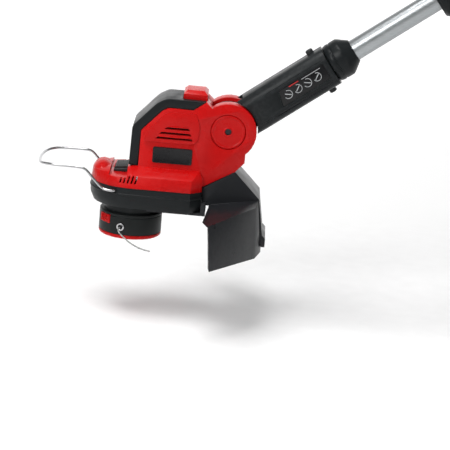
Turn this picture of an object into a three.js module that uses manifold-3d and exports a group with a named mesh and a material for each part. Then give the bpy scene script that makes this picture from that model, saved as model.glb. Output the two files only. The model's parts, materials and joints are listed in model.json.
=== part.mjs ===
// Cordless string trimmer: a head that tilts on a swivelling adapter, a telescopic shaft,
// a clip-on front handle and a D-shaped rear handle that carries the battery.
// Millimetres, +Z up. The head points along -X, its pivot lies along Y, and the shaft rises
// towards +X. Most sizes are worked out in two local frames:
//   head frame   origin on the pivot, level with the ground when the head is level
//   shaft frame  origin on the pivot, +X along the shaft, +Z square to it and upwards

import * as THREE from 'three';
import { ConvexGeometry } from 'three/addons/geometries/ConvexGeometry.js';
import { mergeVertices } from 'three/addons/utils/BufferGeometryUtils.js';
import Module from 'manifold-3d';

const wasm = await Module();
wasm.setup();

// ---------------------------------------------------------------- driving dimensions

const fitGap = 0.3; // between two faces that touch
const runGap = 0.5; // between a piece that moves and what guides it
const pressGap = 0.1; // round a piece pressed into its seat
const wall = 3; // moulded housing wall
const shaftAngle = 37; // shaft above level, in degrees

// tilting head
const bossRadius = 33;
const headHalfWidth = 30;
const tongueHalfWidth = 12;
const pivotBoltRadius = 4;
const capRadius = 20.5;
const capThickness = 2.5;
const spoolAxisX = -107;
const deckZ = -49; // top of the shoulder under the arch
const noseDeckZ = -65; // recess in the nose for its button
const noseShoulderZ = -60.5; // low shoulders on both sides of the nose button
const skirtTopZ = -58;
const skirtBottomZ = -72;
const deckFrontX = -106;
const bulbRadius = 13;
const skirtRadius = 50;
const skirtRearX = -25;
const underCoverFloorZ = -97;
const archThickness = 10.5;
const archRearX = -42;
const archRearOverhang = 14;
const tiltButton = { length: 28, width: 38, travel: 4 };
const noseButton = { length: 22, width: 34, height: 6, travel: 3 };

// motor and line spool
const motorRadius = 19;
const motorTopZ = -71;
const motorShaftRadius = 4;
const spoolTopZ = -107;
const spoolRadius = 37;
const spoolWall = 2.4;
const spoolHeight = 25.5;
const coverThickness = 4.5;
const reelHeight = 18;
const bumpTravel = 4;
const knobRadius = 14;
const latchWidth = 17;
const latchHeight = 14;
const latchTravel = 2.2;
const latchBearing = 51; // degrees from -Y towards -X
const eyeletBearing = 14.7; // degrees from -Y towards -X
const eyeletRadius = 4;
const lineRadius = 0.8;

// guards
const wireRadius = 1.5;
const wireHalfWidth = 48;
const wireReach = 92; // pivot of the wire to its tip
const hoodWall = 2.6;
const hoodBottomZ = -140;
const hoodHalfSpan = 133;
const channelHalfWidth = 30;

// shaft
const lowerTubeRadius = 12.5;
const lowerTubeWall = 1.3;
const upperTubeRadius = 14.8;
const upperTubeWall = 1.6;
const adapterHalfWidth = 23;
const adapterHalfHeight = 24;
const adapterEnd = 140.4; // distances along the shaft start at the pivot
const collarLength = 31;
const collarConeLength = 13;
const collarRadius = 23.25;
const pinPosition = 127;
const pinRadius = 4.4;
const pinFlangeRadius = 6;
const pinTravel = 2.5;
const sleeveStart = 283;
const sleeveLength = 52;
const sleeveRadius = 25;
const clampLength = 38;
const telescopeTravel = 200;
const tubeOverlap = 60; // least length of tube inside tube

// front handle
const frontHandlePosition = 560;
const frontHandleRadius = 9;
const frontHandleHeight = 104;
const frontHandleHalfWidth = 56;
const frontClampRadius = 23;
const frontPivotHeight = 36;

// rear handle
const handleStart = 740;
const handleHalfWidth = 19;
const gripLength = 126;
const gripStart = handleStart + 96;
const gripEnd = gripStart + gripLength;
const gripTop = 44;
const gripThickness = 36;
const gapHeight = 46;
const guardThickness = 16;
const rearBlockEnd = gripEnd + 142;
const rearBlockTop = 38;
const dockHeight = -12;
const trigger = { length: 34, width: 15, travel: 5 };
const safetyButton = { length: 20, width: 14, travel: 3 };
const battery = { length: 108, width: 74, height: 60 };

// ---------------------------------------------------------------- solids

const rad = THREE.MathUtils.degToRad;
const axisX = new THREE.Vector3(1, 0, 0);
const axisY = new THREE.Vector3(0, 1, 0);
const axisZ = new THREE.Vector3(0, 0, 1);

// A closed three.js geometry as a solid that can be joined and cut.
function solidOf(geometry) {
  const bare = geometry.index ? geometry.toNonIndexed() : geometry.clone();
  bare.deleteAttribute('normal');
  bare.deleteAttribute('uv');
  const merged = mergeVertices(bare, 1e-4);
  const corners = [];
  for (let i = 0; i < merged.index.count; i += 3) {
    const [a, b, c] = [0, 1, 2].map((k) => merged.index.getX(i + k));
    if (a !== b && b !== c && c !== a) corners.push([a, b, c]);
  }
  const meshOf = (triangles) =>
    new wasm.Mesh({
      numProp: 3,
      vertProperties: merged.attributes.position.array,
      triVerts: new Uint32Array(triangles.flat()),
    });
  const solid = new wasm.Manifold(meshOf(corners));
  if (solid.volume() > 0) return solid;
  return new wasm.Manifold(meshOf(corners.map(([a, b, c]) => [a, c, b])));
}

function geometryOf(solid) {
  const mesh = solid.getMesh();
  const geometry = new THREE.BufferGeometry();
  geometry.setAttribute('position', new THREE.BufferAttribute(mesh.vertProperties, 3));
  geometry.setIndex(new THREE.BufferAttribute(mesh.triVerts, 1));
  const flat = geometry.toNonIndexed();
  flat.computeVertexNormals();
  return flat;
}

function join(...solids) {
  return solids.reduce((whole, solid) => whole.add(solid));
}

function cut(solid, ...tools) {
  return tools.reduce((rest, tool) => rest.subtract(tool), solid);
}

function moved(solid, x, y, z) {
  return solid.transform(new THREE.Matrix4().makeTranslation(x, y, z).elements);
}

function turnedAbout(solid, axis, degrees) {
  return solid.transform(new THREE.Matrix4().makeRotationAxis(axis, rad(degrees)).elements);
}

function block([x0, x1], [y0, y1], [z0, z1]) {
  const box = new THREE.BoxGeometry(x1 - x0, y1 - y0, z1 - z0);
  box.translate((x0 + x1) / 2, (y0 + y1) / 2, (z0 + z1) / 2);
  return solidOf(box);
}

function outlineOf(points) {
  return new THREE.Shape(points.map(([a, b]) => new THREE.Vector2(a, b)));
}

// An outline in X and Z, made thick along Y.
function sidePlate(points, [y0, y1]) {
  const plate = new THREE.ExtrudeGeometry(outlineOf(points), { depth: y1 - y0, bevelEnabled: false });
  plate.rotateX(Math.PI / 2);
  plate.translate(0, y1, 0);
  return solidOf(plate);
}

// An outline in Y and Z, made long along X.
function beam(points, [x0, x1]) {
  const bar = new THREE.ExtrudeGeometry(outlineOf(points), { depth: x1 - x0, bevelEnabled: false });
  bar.applyMatrix4(new THREE.Matrix4().makeBasis(axisY, axisZ, axisX));
  bar.translate(x0, 0, 0);
  return solidOf(bar);
}

// A profile of [radius, height] points turned about an axis. The profile closes on itself.
function turned(profile, axis = axisZ, segments = 28) {
  const points = [...profile, profile[0]].map(([r, h]) => new THREE.Vector2(r, h));
  const lathe = new THREE.LatheGeometry(points, segments);
  lathe.applyQuaternion(new THREE.Quaternion().setFromUnitVectors(axisY, axis));
  return solidOf(lathe);
}

function rod(radius, [from, to], axis = axisZ, segments = 28) {
  const cylinder = new THREE.CylinderGeometry(radius, radius, to - from, segments);
  cylinder.translate(0, (from + to) / 2, 0);
  cylinder.applyQuaternion(new THREE.Quaternion().setFromUnitVectors(axisY, axis));
  return solidOf(cylinder);
}

function pipe(outer, inner, [from, to], axis = axisZ, segments = 28) {
  return turned([[inner, from], [outer, from], [outer, to], [inner, to]], axis, segments);
}

function hullOf(points) {
  return solidOf(new ConvexGeometry(points.map(([x, y, z]) => new THREE.Vector3(x, y, z))));
}

// A round bar swept along a smooth curve through the points.
function bentBar(points, radius, sides, steps, tension = 0.5) {
  const route = points.map(([x, y, z]) => new THREE.Vector3(x, y, z));
  const curve = new THREE.CatmullRomCurve3(route, false, 'catmullrom', tension);
  const section = new THREE.Shape();
  for (let i = 0; i < sides; i++) {
    const angle = (2 * Math.PI * i) / sides;
    const [a, b] = [radius * Math.cos(angle), radius * Math.sin(angle)];
    if (i === 0) section.moveTo(a, b);
    else section.lineTo(a, b);
  }
  const settings = { extrudePath: curve, steps, bevelEnabled: false };
  return solidOf(new THREE.ExtrudeGeometry(section, settings));
}

// A polyline moved sideways, to the left of its direction, with mitred corners.
function offsetLine(points, distance) {
  const leftOf = ([ax, ay], [bx, by]) => {
    const length = Math.hypot(bx - ax, by - ay);
    return [-(by - ay) / length, (bx - ax) / length];
  };
  return points.map((point, i) => {
    const before = leftOf(points[Math.max(i - 1, 0)], points[Math.max(i, 1)]);
    const last = points.length - 1;
    const after = leftOf(points[Math.min(i, last - 1)], points[Math.min(i + 1, last)]);
    const sum = [before[0] + after[0], before[1] + after[1]];
    const scale = (2 * distance) / (sum[0] ** 2 + sum[1] ** 2);
    return [point[0] + sum[0] * scale, point[1] + sum[1] * scale];
  });
}

function mirrored(points) {
  return points.map(([x, y, ...rest]) => [x, -y, ...rest]);
}

// A coil spring along Z, between two heights.
function coilSpring(radius, wire, [z0, z1], turns) {
  const stepsPerTurn = 10;
  const points = [];
  for (let i = 0; i <= turns * stepsPerTurn; i++) {
    const angle = (2 * Math.PI * i) / stepsPerTurn;
    const share = i / (turns * stepsPerTurn);
    const z = z0 + wire + (z1 - z0 - 2 * wire) * share;
    points.push([radius * Math.cos(angle), radius * Math.sin(angle), z]);
  }
  return bentBar(points, wire, 5, turns * stepsPerTurn);
}

// ---------------------------------------------------------------- materials

function finish(color, roughness, metalness = 0) {
  return () => new THREE.MeshStandardMaterial({ color, roughness, metalness });
}

const redPlastic = finish(0xc81e1e, 0.38);
const blackPlastic = finish(0x25292b, 0.5);
const greyPlastic = finish(0x3a3f42, 0.55);
const softGrip = finish(0x1b1c1d, 0.85);
const steel = finish(0xb9bcc0, 0.3, 1);
const aluminium = finish(0xb6bbbd, 0.32, 1);
const nylonLine = finish(0xd8dcda, 0.4);
const springSteel = finish(0x8f9295, 0.35, 1);
const copper = finish(0xb87333, 0.35, 1);
const circuitBoard = finish(0x1f5a34, 0.6);
const labelFilm = finish(0x17191b, 0.45);
const leadRubber = finish(0x141414, 0.7);

const trimmer = new THREE.Group();
const head = new THREE.Group();
const shaft = new THREE.Group();
shaft.rotation.y = -rad(shaftAngle);
trimmer.add(head, shaft);

function addPiece(group, name, solid, material) {
  const piece = new THREE.Mesh(geometryOf(solid), material());
  piece.name = name;
  group.add(piece);
  return piece;
}

// Adds the -Y and +Y halves of a solid, parted on the middle plane.
function addHalves(group, name, solid, material) {
  const far = 400;
  const across = [-2000, 2000];
  const nearHalf = block(across, [-far, -fitGap / 2], across);
  const farHalf = block(across, [fitGap / 2, far], across);
  addPiece(group, name + '_left', solid.intersect(nearHalf), material);
  addPiece(group, name + '_right', solid.intersect(farHalf), material);
}

// ---------------------------------------------------------------- head outlines

// The nose and skirt share one plan: a half circle about the spool axis, straight sides and
// cut rear corners.
function nosePlan(radius, rearX, z, halfWidth = radius) {
  const steps = 12;
  const corner = radius / 4;
  const points = [];
  for (let i = 0; i <= steps; i++) {
    const angle = Math.PI / 2 + (Math.PI * i) / steps;
    points.push([spoolAxisX + radius * Math.cos(angle), halfWidth * Math.sin(angle), z]);
  }
  points.push([rearX - corner, -halfWidth, z], [rearX, -halfWidth + corner, z]);
  points.push([rearX, halfWidth - corner, z], [rearX - corner, halfWidth, z]);
  return points;
}

// Underside of the arch band, from its rear end over the top to its foot on the nose.
const archUnderside = [
  [archRearX, 22.5],
  [-71, 23],
  [-78, 19],
  [-101, -6],
  [-102, deckZ + fitGap],
];
const shellRearOutline = [
  [-30, -68],
  [-24, -67],
  [12, -46],
  [22, -35],
  [22, -24],
];

// Hinge of the plant guard, in the sides of the under-cover.
const wirePivotX = spoolAxisX - 19;
const wirePivotZ = skirtBottomZ - 3 - wireRadius;

const slotRadius = bossRadius + 1.5;
const tongueRadius = bossRadius - 4;
const bossInnerY = tongueHalfWidth + fitGap;
const bolt = { headRadius: 7, headY: headHalfWidth - capThickness - 1 };

// Ends of the boss arc where it meets the housing behind the arch band.
function bossPoint(degrees) {
  return [bossRadius * Math.cos(rad(degrees)), bossRadius * Math.sin(rad(degrees))];
}

function buttonBed() {
  const [x0, x1] = [archRearX - 13, archRearX - 13 + tiltButton.length];
  return { x0, x1, top: bossRadius + 10 };
}

// ---------------------------------------------------------------- head housing

// Corners of the flat under the arch, drawn in by an inset on every side.
function shoulderTop(inset) {
  const [x0, x1] = [deckFrontX + inset, skirtRearX - 4 - inset];
  const y = headHalfWidth + 1 - inset;
  return [x0, x1].flatMap((x) => [[x, -y, deckZ - inset], [x, y, deckZ - inset]]);
}

// Rounded bulb at the front of the nose.
function noseBulb(radius) {
  const ball = new THREE.SphereGeometry(radius, 16, 10);
  ball.scale(1, 2.1, 1);
  ball.translate(spoolAxisX - skirtRadius + bulbRadius + 1, 0, skirtTopZ - 5);
  return solidOf(ball).intersect(block([-400, 0], [-100, 100], [skirtTopZ - 4, 0]));
}

const noseHalf = noseButton.width / 2 + runGap + wall;

function headShell() {
  const top = offsetLine(archUnderside, fitGap);
  const archEnd = [archRearX + archRearOverhang + fitGap, bossRadius];
  const body = sidePlate(
    [bossPoint(90), bossPoint(112), bossPoint(128), archEnd, ...top.slice(0, -1),
      [top.at(-1)[0], skirtTopZ - 2], ...shellRearOutline],
    [-headHalfWidth, headHalfWidth],
  );
  const shoulder = hullOf([
    ...shoulderTop(0),
    ...nosePlan(skirtRadius - 2, skirtRearX, skirtTopZ),
  ]);
  const bulb = noseBulb(bulbRadius);
  const skirt = hullOf([
    ...nosePlan(skirtRadius - 2, skirtRearX, skirtTopZ),
    ...nosePlan(skirtRadius, skirtRearX, skirtBottomZ),
  ]);
  const boss = rod(bossRadius, [-headHalfWidth, headHalfWidth], axisY, 36);
  const outside = join(body, shoulder, skirt, boss, bulb);

  const roof = offsetLine(archUnderside, fitGap + wall);
  const cavityRear = -slotRadius - wall;
  const upperCavity = sidePlate(
    [[cavityRear, 8], [cavityRear - 8, roof[0][1]], ...roof.slice(1, -1),
      [roof.at(-1)[0], skirtTopZ], [cavityRear, skirtTopZ]],
    [-headHalfWidth + wall, headHalfWidth - wall],
  );
  const noseCavity = hullOf([
    ...shoulderTop(wall),
    ...nosePlan(skirtRadius - 2 - wall, skirtRearX - wall, skirtTopZ),
  ]);
  const button = noseButtonSpan(runGap);
  const notch = [button.x[0] - wall, spoolAxisX - 6];
  const across = [-skirtRadius, skirtRadius];
  const noseFloor = join(
    block([button.x[0] - wall, button.x[1] + wall], [-noseHalf, noseHalf], [noseDeckZ - wall, deckZ]),
    block([notch[0] - wall, notch[1] + wall], across, [noseShoulderZ - wall, deckZ]),
  );
  const noseRecess = block(button.x, button.y, [noseDeckZ, deckZ + 5]);
  const noseNotch = block(notch, across, [noseShoulderZ, deckZ + 5]);
  const skirtCavity = hullOf([
    ...nosePlan(skirtRadius - 2 - wall, skirtRearX - wall, skirtTopZ + 0.01),
    ...nosePlan(skirtRadius - wall, skirtRearX - wall, skirtBottomZ - 1),
  ]);
  const tongueSlot = rod(slotRadius, [-bossInnerY, bossInnerY], axisY, 36);
  const slotMouth = block([-16, 60], [-bossInnerY, bossInnerY], [-20, 60]);
  const boltBore = rod(pivotBoltRadius + 0.2, [-headHalfWidth, headHalfWidth], axisY, 16);
  const boltSeat = rod(bolt.headRadius + 0.5, [-headHalfWidth, -bolt.headY + 4 + fitGap], axisY, 24);
  const nutSeat = rod(bolt.headRadius + 0.5, [bolt.headY - 5 - fitGap, headHalfWidth], axisY, 24);
  const capSeats = [-1, 1].map((side) => {
    const depth = [headHalfWidth - capThickness - fitGap, headHalfWidth + 1];
    const span = side < 0 ? [-depth[1], -depth[0]] : depth;
    return rod(capRadius + fitGap, span, axisY, 28);
  });
  const bed = buttonBed();
  const stemHole = block([bed.x0 + 9, bed.x1 - 9], [-5, 5], [10, 40]);
  const buttonWell = block([bed.x0 - runGap, bed.x1 + runGap],
    [-tiltButton.width / 2 - runGap, tiltButton.width / 2 + runGap], [top[0][1], 60]);
  const nose = noseButtonSpan(-2);
  const noseHole = block(nose.x, nose.y, [noseDeckZ - wall - 1, noseDeckZ + 1]);
  const vents = ventSlots();
  const hollow = cut(outside, upperCavity, noseCavity, skirtCavity);
  const floored = join(hollow, noseFloor.intersect(outside));
  return cut(floored, noseRecess, noseNotch, tongueSlot, slotMouth, boltBore, boltSeat, nutSeat, ...capSeats,
    stemHole, buttonWell, noseHole, ...vents);
}

function noseButtonSpan(gap) {
  const centre = spoolAxisX - 12;
  return {
    x: [centre - noseButton.length / 2 - gap, centre + noseButton.length / 2 + gap],
    y: [-noseButton.width / 2 - gap, noseButton.width / 2 + gap],
  };
}

// Three stacked cooling slots in each side, and a row of small ones in the nose.
function ventSlots() {
  const slots = [];
  for (const side of [-1, 1]) {
    const y = side < 0 ? [-headHalfWidth - 1, -headHalfWidth + wall + 1]
      : [headHalfWidth - wall - 1, headHalfWidth + 1];
    for (const [x0, x1, z] of [[-74, -44, -1], [-80, -42, -7], [-84, -40, -13]]) {
      slots.push(block([x0, x1], y, [z - 1.1, z + 1.1]));
    }
  }
  return slots;
}

function archBand() {
  const outer = offsetLine(archUnderside, -archThickness);
  outer[0][0] += archRearOverhang;
  const band = sidePlate([...archUnderside, ...outer.reverse()], [-headHalfWidth, headHalfWidth]);
  const bed = buttonBed();
  const halfWidth = tiltButton.width / 2 + runGap;
  const buttonWell = block([bed.x0 - runGap, bed.x1 + 20], [-halfWidth, halfWidth], [0, 60]);
  return cut(band, buttonWell);
}

function underCover() {
  const top = skirtBottomZ - fitGap;
  const brimZ = underCoverFloorZ + 9;
  const outside = join(
    hullOf([...nosePlan(skirtRadius, skirtRearX, top), ...nosePlan(skirtRadius, skirtRearX, brimZ)]),
    hullOf([
      ...nosePlan(skirtRadius, skirtRearX, brimZ),
      ...nosePlan(skirtRadius - 4, skirtRearX - 2, underCoverFloorZ),
    ]),
    rod(spoolRadius - 4, [spoolTopZ + fitGap, underCoverFloorZ + 1]).translate([spoolAxisX, 0, 0]),
  );
  const inside = hullOf([
    ...nosePlan(skirtRadius - wall - 4, skirtRearX - wall - 2, top + 1),
    ...nosePlan(skirtRadius - wall - 4, skirtRearX - wall - 2, underCoverFloorZ + wall),
  ]);
  const shaftHole = rod(motorShaftRadius + runGap, [spoolTopZ - 5, 0], axisZ, 16);
  const hollowNeck = rod(spoolRadius - 4 - wall, [spoolTopZ - 1, underCoverFloorZ]);
  const wireSockets = rod(wireRadius + runGap, [-skirtRadius, skirtRadius], axisY, 12);
  return cut(outside, inside, ...[shaftHole, hollowNeck].map((tool) => moved(tool, spoolAxisX, 0, 0)),
    moved(wireSockets, wirePivotX, 0, wirePivotZ));
}

// ---------------------------------------------------------------- head pieces

const tiltButtonBottom = archUnderside[0][1] + tiltButton.travel + 1.5;
const tiltPocketTop = tiltButtonBottom + 8;
const tiltSpringRadius = 8.5;

function tiltButtonSolid() {
  const bed = buttonBed();
  const half = tiltButton.width / 2;
  const bottom = tiltButtonBottom;
  const cap = hullOf([
    [bed.x0, -half, bottom], [bed.x0, half, bottom], [bed.x1, -half, bottom], [bed.x1, half, bottom],
    [bed.x0, -half, bed.top - 4], [bed.x0, half, bed.top - 4],
    [bed.x1, -half, bed.top - 4], [bed.x1, half, bed.top - 4],
    [bed.x0 + 4, -half + 5, bed.top], [bed.x0 + 4, half - 5, bed.top],
    [bed.x1 - 4, -half + 5, bed.top], [bed.x1 - 4, half - 5, bed.top],
  ]);
  const stem = block([bed.x0 + 9 + runGap, bed.x1 - 9 - runGap], [-4.5, 4.5], [bottom - 10, bottom + 2]);
  const pocket = pipe(tiltSpringRadius + 1.5, tiltSpringRadius - 1.5, [bottom - 1, tiltPocketTop]);
  return join(cut(cap, moved(pocket, (bed.x0 + bed.x1) / 2, 0, 0)), stem);
}

// The stem passes through the return spring, whose top sits in a ring pocket of the button.
function tiltSpring() {
  const bed = buttonBed();
  const span = [archUnderside[0][1] + fitGap, tiltPocketTop - fitGap];
  return moved(coilSpring(tiltSpringRadius, 0.7, span, 3), (bed.x0 + bed.x1) / 2, 0, 0);
}

function noseButtonSolid() {
  const span = noseButtonSpan(0);
  const [x0, x1] = span.x;
  const [y0, y1] = span.y;
  const bottom = noseDeckZ + noseButton.travel + fitGap;
  const top = bottom + noseButton.height;
  const cap = hullOf([
    [x0, y0, bottom], [x0, y1, bottom], [x1, y0, bottom], [x1, y1, bottom],
    [x0, y0, top - 2], [x0, y1, top - 2], [x1, y0, top], [x1, y1, top],
  ]);
  const stem = noseButtonSpan(-2 - runGap);
  return join(cap, block(stem.x, stem.y, [noseDeckZ - wall + 1, bottom + 1]));
}

function pivotCap(side) {
  const inner = headHalfWidth - capThickness;
  const span = side < 0 ? [-headHalfWidth, -inner] : [inner, headHalfWidth];
  const disc = rod(capRadius, span, axisY, 28);
  return cut(disc, rod(3.7, [-headHalfWidth - 1, headHalfWidth + 1], axisY, 16));
}

function pivotBolt() {
  const shank = rod(pivotBoltRadius, [-bolt.headY + 1, bolt.headY], axisY, 16);
  return join(shank, rod(bolt.headRadius, [-bolt.headY, -bolt.headY + 4], axisY, 6));
}

function pivotNut() {
  const nut = rod(bolt.headRadius, [bolt.headY - 5, bolt.headY - 0.2], axisY, 6);
  return cut(nut, rod(pivotBoltRadius + fitGap, [0, headHalfWidth], axisY, 16));
}

function labelPlate(side) {
  const y = side * (headHalfWidth + fitGap);
  const span = side < 0 ? [y - 0.8, y] : [y, y + 0.8];
  return sidePlate([[-85.5, -43], [-39.5, -43], [-39.5, -24], [-85.5, -24]], span);
}

function motor() {
  const floor = underCoverFloorZ + wall + fitGap;
  const can = turned([
    [motorShaftRadius + runGap, floor], [motorRadius - 2, floor], [motorRadius, floor + 2],
    [motorRadius, motorTopZ - 6], [12, motorTopZ - 6], [12, motorTopZ],
    [motorShaftRadius + runGap, motorTopZ],
  ], axisZ, 28);
  return moved(can, spoolAxisX, 0, 0);
}

function motorShaft() {
  return moved(rod(motorShaftRadius, [spoolTopZ - 20, motorTopZ - 0.5], axisZ, 16), spoolAxisX, 0, 0);
}

// ---------------------------------------------------------------- line spool

const cupBottomZ = spoolTopZ - spoolHeight;
const cupInside = spoolRadius - spoolWall;
const cupRoofZ = spoolTopZ - 3;
const hubRadius = 8;
const reelTopZ = cupRoofZ - fitGap - bumpTravel;
const reelFlange = 1.5;

// The feed spring stands round the hub of the cup, inside the hub of the reel.
const feedSpring = { wire: 0.7, radius: hubRadius + runGap + 0.9 };
const reelHub = {
  bore: hubRadius + runGap,
  inside: feedSpring.radius + feedSpring.wire + runGap,
  outer: feedSpring.radius + feedSpring.wire + runGap + 2,
};

// The latch arms stand just inside the round cup wall, with room inwards for their travel.
const latchArm = {
  thickness: 2.2,
  face: Math.sqrt((cupInside - fitGap) ** 2 - (latchWidth / 2) ** 2),
};
const reelFlangeRadius = latchArm.face - latchArm.thickness - latchTravel - fitGap;

// A tool or piece set at a bearing round the spool, facing outwards along -Y before it turns.
function aroundSpool(solid, degrees) {
  return moved(turnedAbout(solid, axisZ, -degrees), spoolAxisX, 0, 0);
}

function spoolCup() {
  const bore = motorShaftRadius + pressGap;
  const cup = turned([
    [bore, spoolTopZ], [spoolRadius - 1, spoolTopZ], [spoolRadius, spoolTopZ - 1],
    [spoolRadius, cupBottomZ], [cupInside, cupBottomZ], [cupInside, cupRoofZ], [hubRadius, cupRoofZ],
    [hubRadius, cupBottomZ + 4], [bore, cupBottomZ + 4],
  ], axisZ, 36);
  const window = block(
    [-latchWidth / 2 - fitGap, latchWidth / 2 + fitGap],
    [-spoolRadius - 3, -cupInside + 2],
    [spoolTopZ - latchHeight - fitGap, cupRoofZ],
  );
  const eyeletHole = rod(eyeletRadius + pressGap, [-spoolRadius - 3, -cupInside + 3], axisY, 16);
  const atHeight = moved(eyeletHole, 0, 0, eyeletZ);
  return cut(moved(cup, spoolAxisX, 0, 0),
    aroundSpool(window, latchBearing), aroundSpool(window, latchBearing + 180),
    aroundSpool(atHeight, eyeletBearing), aroundSpool(atHeight, eyeletBearing + 180));
}

const eyeletZ = spoolTopZ - 15.7;
const eyeletFace = spoolRadius + 1.4;

// A metal ring with a lip that rests outside the cup wall.
function eyelet(bearing) {
  const bore = eyeletRadius - 1.4;
  const ring = turned([
    [bore, cupInside - 1], [eyeletRadius, cupInside - 1],
    [eyeletRadius, spoolRadius + fitGap], [eyeletRadius + 1, spoolRadius + fitGap],
    [eyeletRadius + 1, eyeletFace], [bore, eyeletFace],
  ], new THREE.Vector3(0, -1, 0), 16);
  return aroundSpool(moved(ring, 0, 0, eyeletZ), bearing);
}

function spoolCover() {
  const cover = turned([
    [knobBore, coverBottomZ], [spoolRadius - 2, coverBottomZ], [spoolRadius, coverBottomZ + 2],
    [spoolRadius, cupBottomZ - fitGap], [knobBore, cupBottomZ - fitGap],
  ], axisZ, 36);
  return moved(cover, spoolAxisX, 0, 0);
}

// A spring arm of the cover whose ribbed tab shows in a window of the cup.
function latchTab(bearing) {
  const half = latchWidth / 2;
  const top = cupRoofZ - 1;
  const arm = block([-half, half], [-latchArm.face, -latchArm.face + latchArm.thickness],
    [cupBottomZ + runGap, top]);
  const tab = block([-half, half], [-spoolRadius - 0.4, -latchArm.face + 1],
    [spoolTopZ - latchHeight, top]);
  return aroundSpool(join(arm, tab), bearing);
}

function spoolReel() {
  const bottom = reelTopZ - reelHeight;
  const reel = turned([
    [reelHub.inside, reelTopZ], [reelFlangeRadius, reelTopZ],
    [reelFlangeRadius, reelTopZ - reelFlange], [reelHub.outer, reelTopZ - reelFlange],
    [reelHub.outer, bottom + reelFlange], [reelFlangeRadius, bottom + reelFlange],
    [reelFlangeRadius, bottom], [reelHub.bore, bottom], [reelHub.bore, bottom + reelFlange],
    [reelHub.inside, bottom + reelFlange],
  ], axisZ, 28);
  return moved(reel, spoolAxisX, 0, 0);
}

function lineWinding() {
  const span = [reelTopZ - reelHeight + reelFlange + fitGap, reelTopZ - reelFlange - fitGap];
  return moved(pipe(reelFlangeRadius - 3, reelHub.outer + fitGap, span), spoolAxisX, 0, 0);
}

const coverBottomZ = cupBottomZ - fitGap - coverThickness;
const knobBottomZ = coverBottomZ - bumpTravel - 2;
const knobBore = knobRadius - 3;

// The knob stands clear of the cover by the travel of the bump feed.
function bumpKnob() {
  const stem = knobBore - runGap;
  const top = reelTopZ - reelHeight - fitGap;
  const rim = coverBottomZ - bumpTravel - fitGap;
  const knob = turned([
    [0, knobBottomZ], [knobBore, knobBottomZ], [knobRadius, knobBottomZ + 1],
    [knobRadius, rim], [stem, rim], [stem, top], [0, top],
  ], axisZ, 28);
  return moved(knob, spoolAxisX, 0, 0);
}

function bumpSpring() {
  const span = [reelTopZ - reelHeight + reelFlange + fitGap, cupRoofZ - fitGap];
  return moved(coilSpring(feedSpring.radius, feedSpring.wire, span, 5), spoolAxisX, 0, 0);
}

// The cutting line leaves the eyelet outwards, then trails back and droops. Distances are
// from the pivot of the head.
const eyeletOut = [-Math.sin(rad(eyeletBearing)), -Math.cos(rad(eyeletBearing)), 0];
const lineStart = [
  spoolAxisX + eyeletOut[0] * (eyeletFace + fitGap),
  eyeletOut[1] * (eyeletFace + fitGap),
  eyeletZ,
];
const lineSteps = [
  [0, 0, 0], [-1.1, -4.6, 0], [-1.4, -9.4, -0.1], [-1.0, -14.4, -0.3], [0.1, -19.4, -0.6],
  [1.9, -24.4, -1.0], [4.0, -29.3, -1.5], [6.4, -34.2, -2.1], [9.0, -39.0, -2.7],
  [11.8, -43.8, -3.4], [14.9, -48.5, -4.0], [18.3, -53.1, -4.6], [22.0, -57.6, -5.1],
  [26.0, -61.9, -5.5], [30.3, -65.9, -5.7], [34.8, -69.5, -5.7], [39.4, -72.6, -5.5],
];

function cuttingLine() {
  const points = lineSteps.map((step) => step.map((value, i) => lineStart[i] + value));
  return bentBar(points, lineRadius, 8, 30);
}

// ---------------------------------------------------------------- guards

// Half of the wire loop, from its hooked end in the skirt to the middle of its tip.
function guardWire() {
  const tipX = wirePivotX - wireReach;
  const side = [
    [wirePivotX - 0.5, -wireHalfWidth - 2, wirePivotZ],
    [wirePivotX - 6, -wireHalfWidth - 2, wirePivotZ + 0.3],
    [wirePivotX - 15, -wireHalfWidth, wirePivotZ + 2.5],
    [wirePivotX - 26, -wireHalfWidth, wirePivotZ + 13],
    [wirePivotX - 36, -wireHalfWidth + 1, wirePivotZ + 22.5],
    [wirePivotX - 48, -wireHalfWidth + 2, wirePivotZ + 24],
    [wirePivotX - 66, -wireHalfWidth + 3, wirePivotZ + 24],
    [tipX + 11, -wireHalfWidth + 8, wirePivotZ + 23.5],
    [tipX + 2.5, -wireHalfWidth + 22, wirePivotZ + 22],
  ];
  const tip = [tipX, 0, wirePivotZ + 21.5];
  const loop = bentBar([...side, tip, ...mirrored(side).reverse()], wireRadius, 6, 60);
  const hooks = [-1, 1].map((end) => {
    const [y0, y1] = [skirtRadius - 6, wireHalfWidth + 3];
    const span = end < 0 ? [-y1, -y0] : [y0, y1];
    return moved(rod(wireRadius, span, axisY, 8), wirePivotX, 0, wirePivotZ);
  });
  return join(loop, ...hooks);
}

const hoodPlan = { cornerX: -8, creaseX: 43, creaseY: 61, rearX: 50 };

function hoodPoints(inset, roofRise) {
  const { cornerX, creaseX, creaseY, rearX } = hoodPlan;
  return [
    [cornerX - inset, -hoodHalfSpan + 1.5 * inset, hoodBottomZ],
    [creaseX - inset, -creaseY + inset / 2, hoodBottomZ],
    [rearX - inset, -channelHalfWidth, hoodBottomZ],
    [cornerX - 5, -hoodHalfSpan + 3 + 1.5 * inset, -88 + roofRise],
    [creaseX - 4 - inset, -creaseY + 2 + inset / 2, -80 + roofRise],
    [rearX - 8 - inset, -channelHalfWidth, -78 + roofRise],
    [skirtRearX - 10, -skirtRadius, underCoverFloorZ - fitGap + roofRise],
  ];
}

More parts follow.
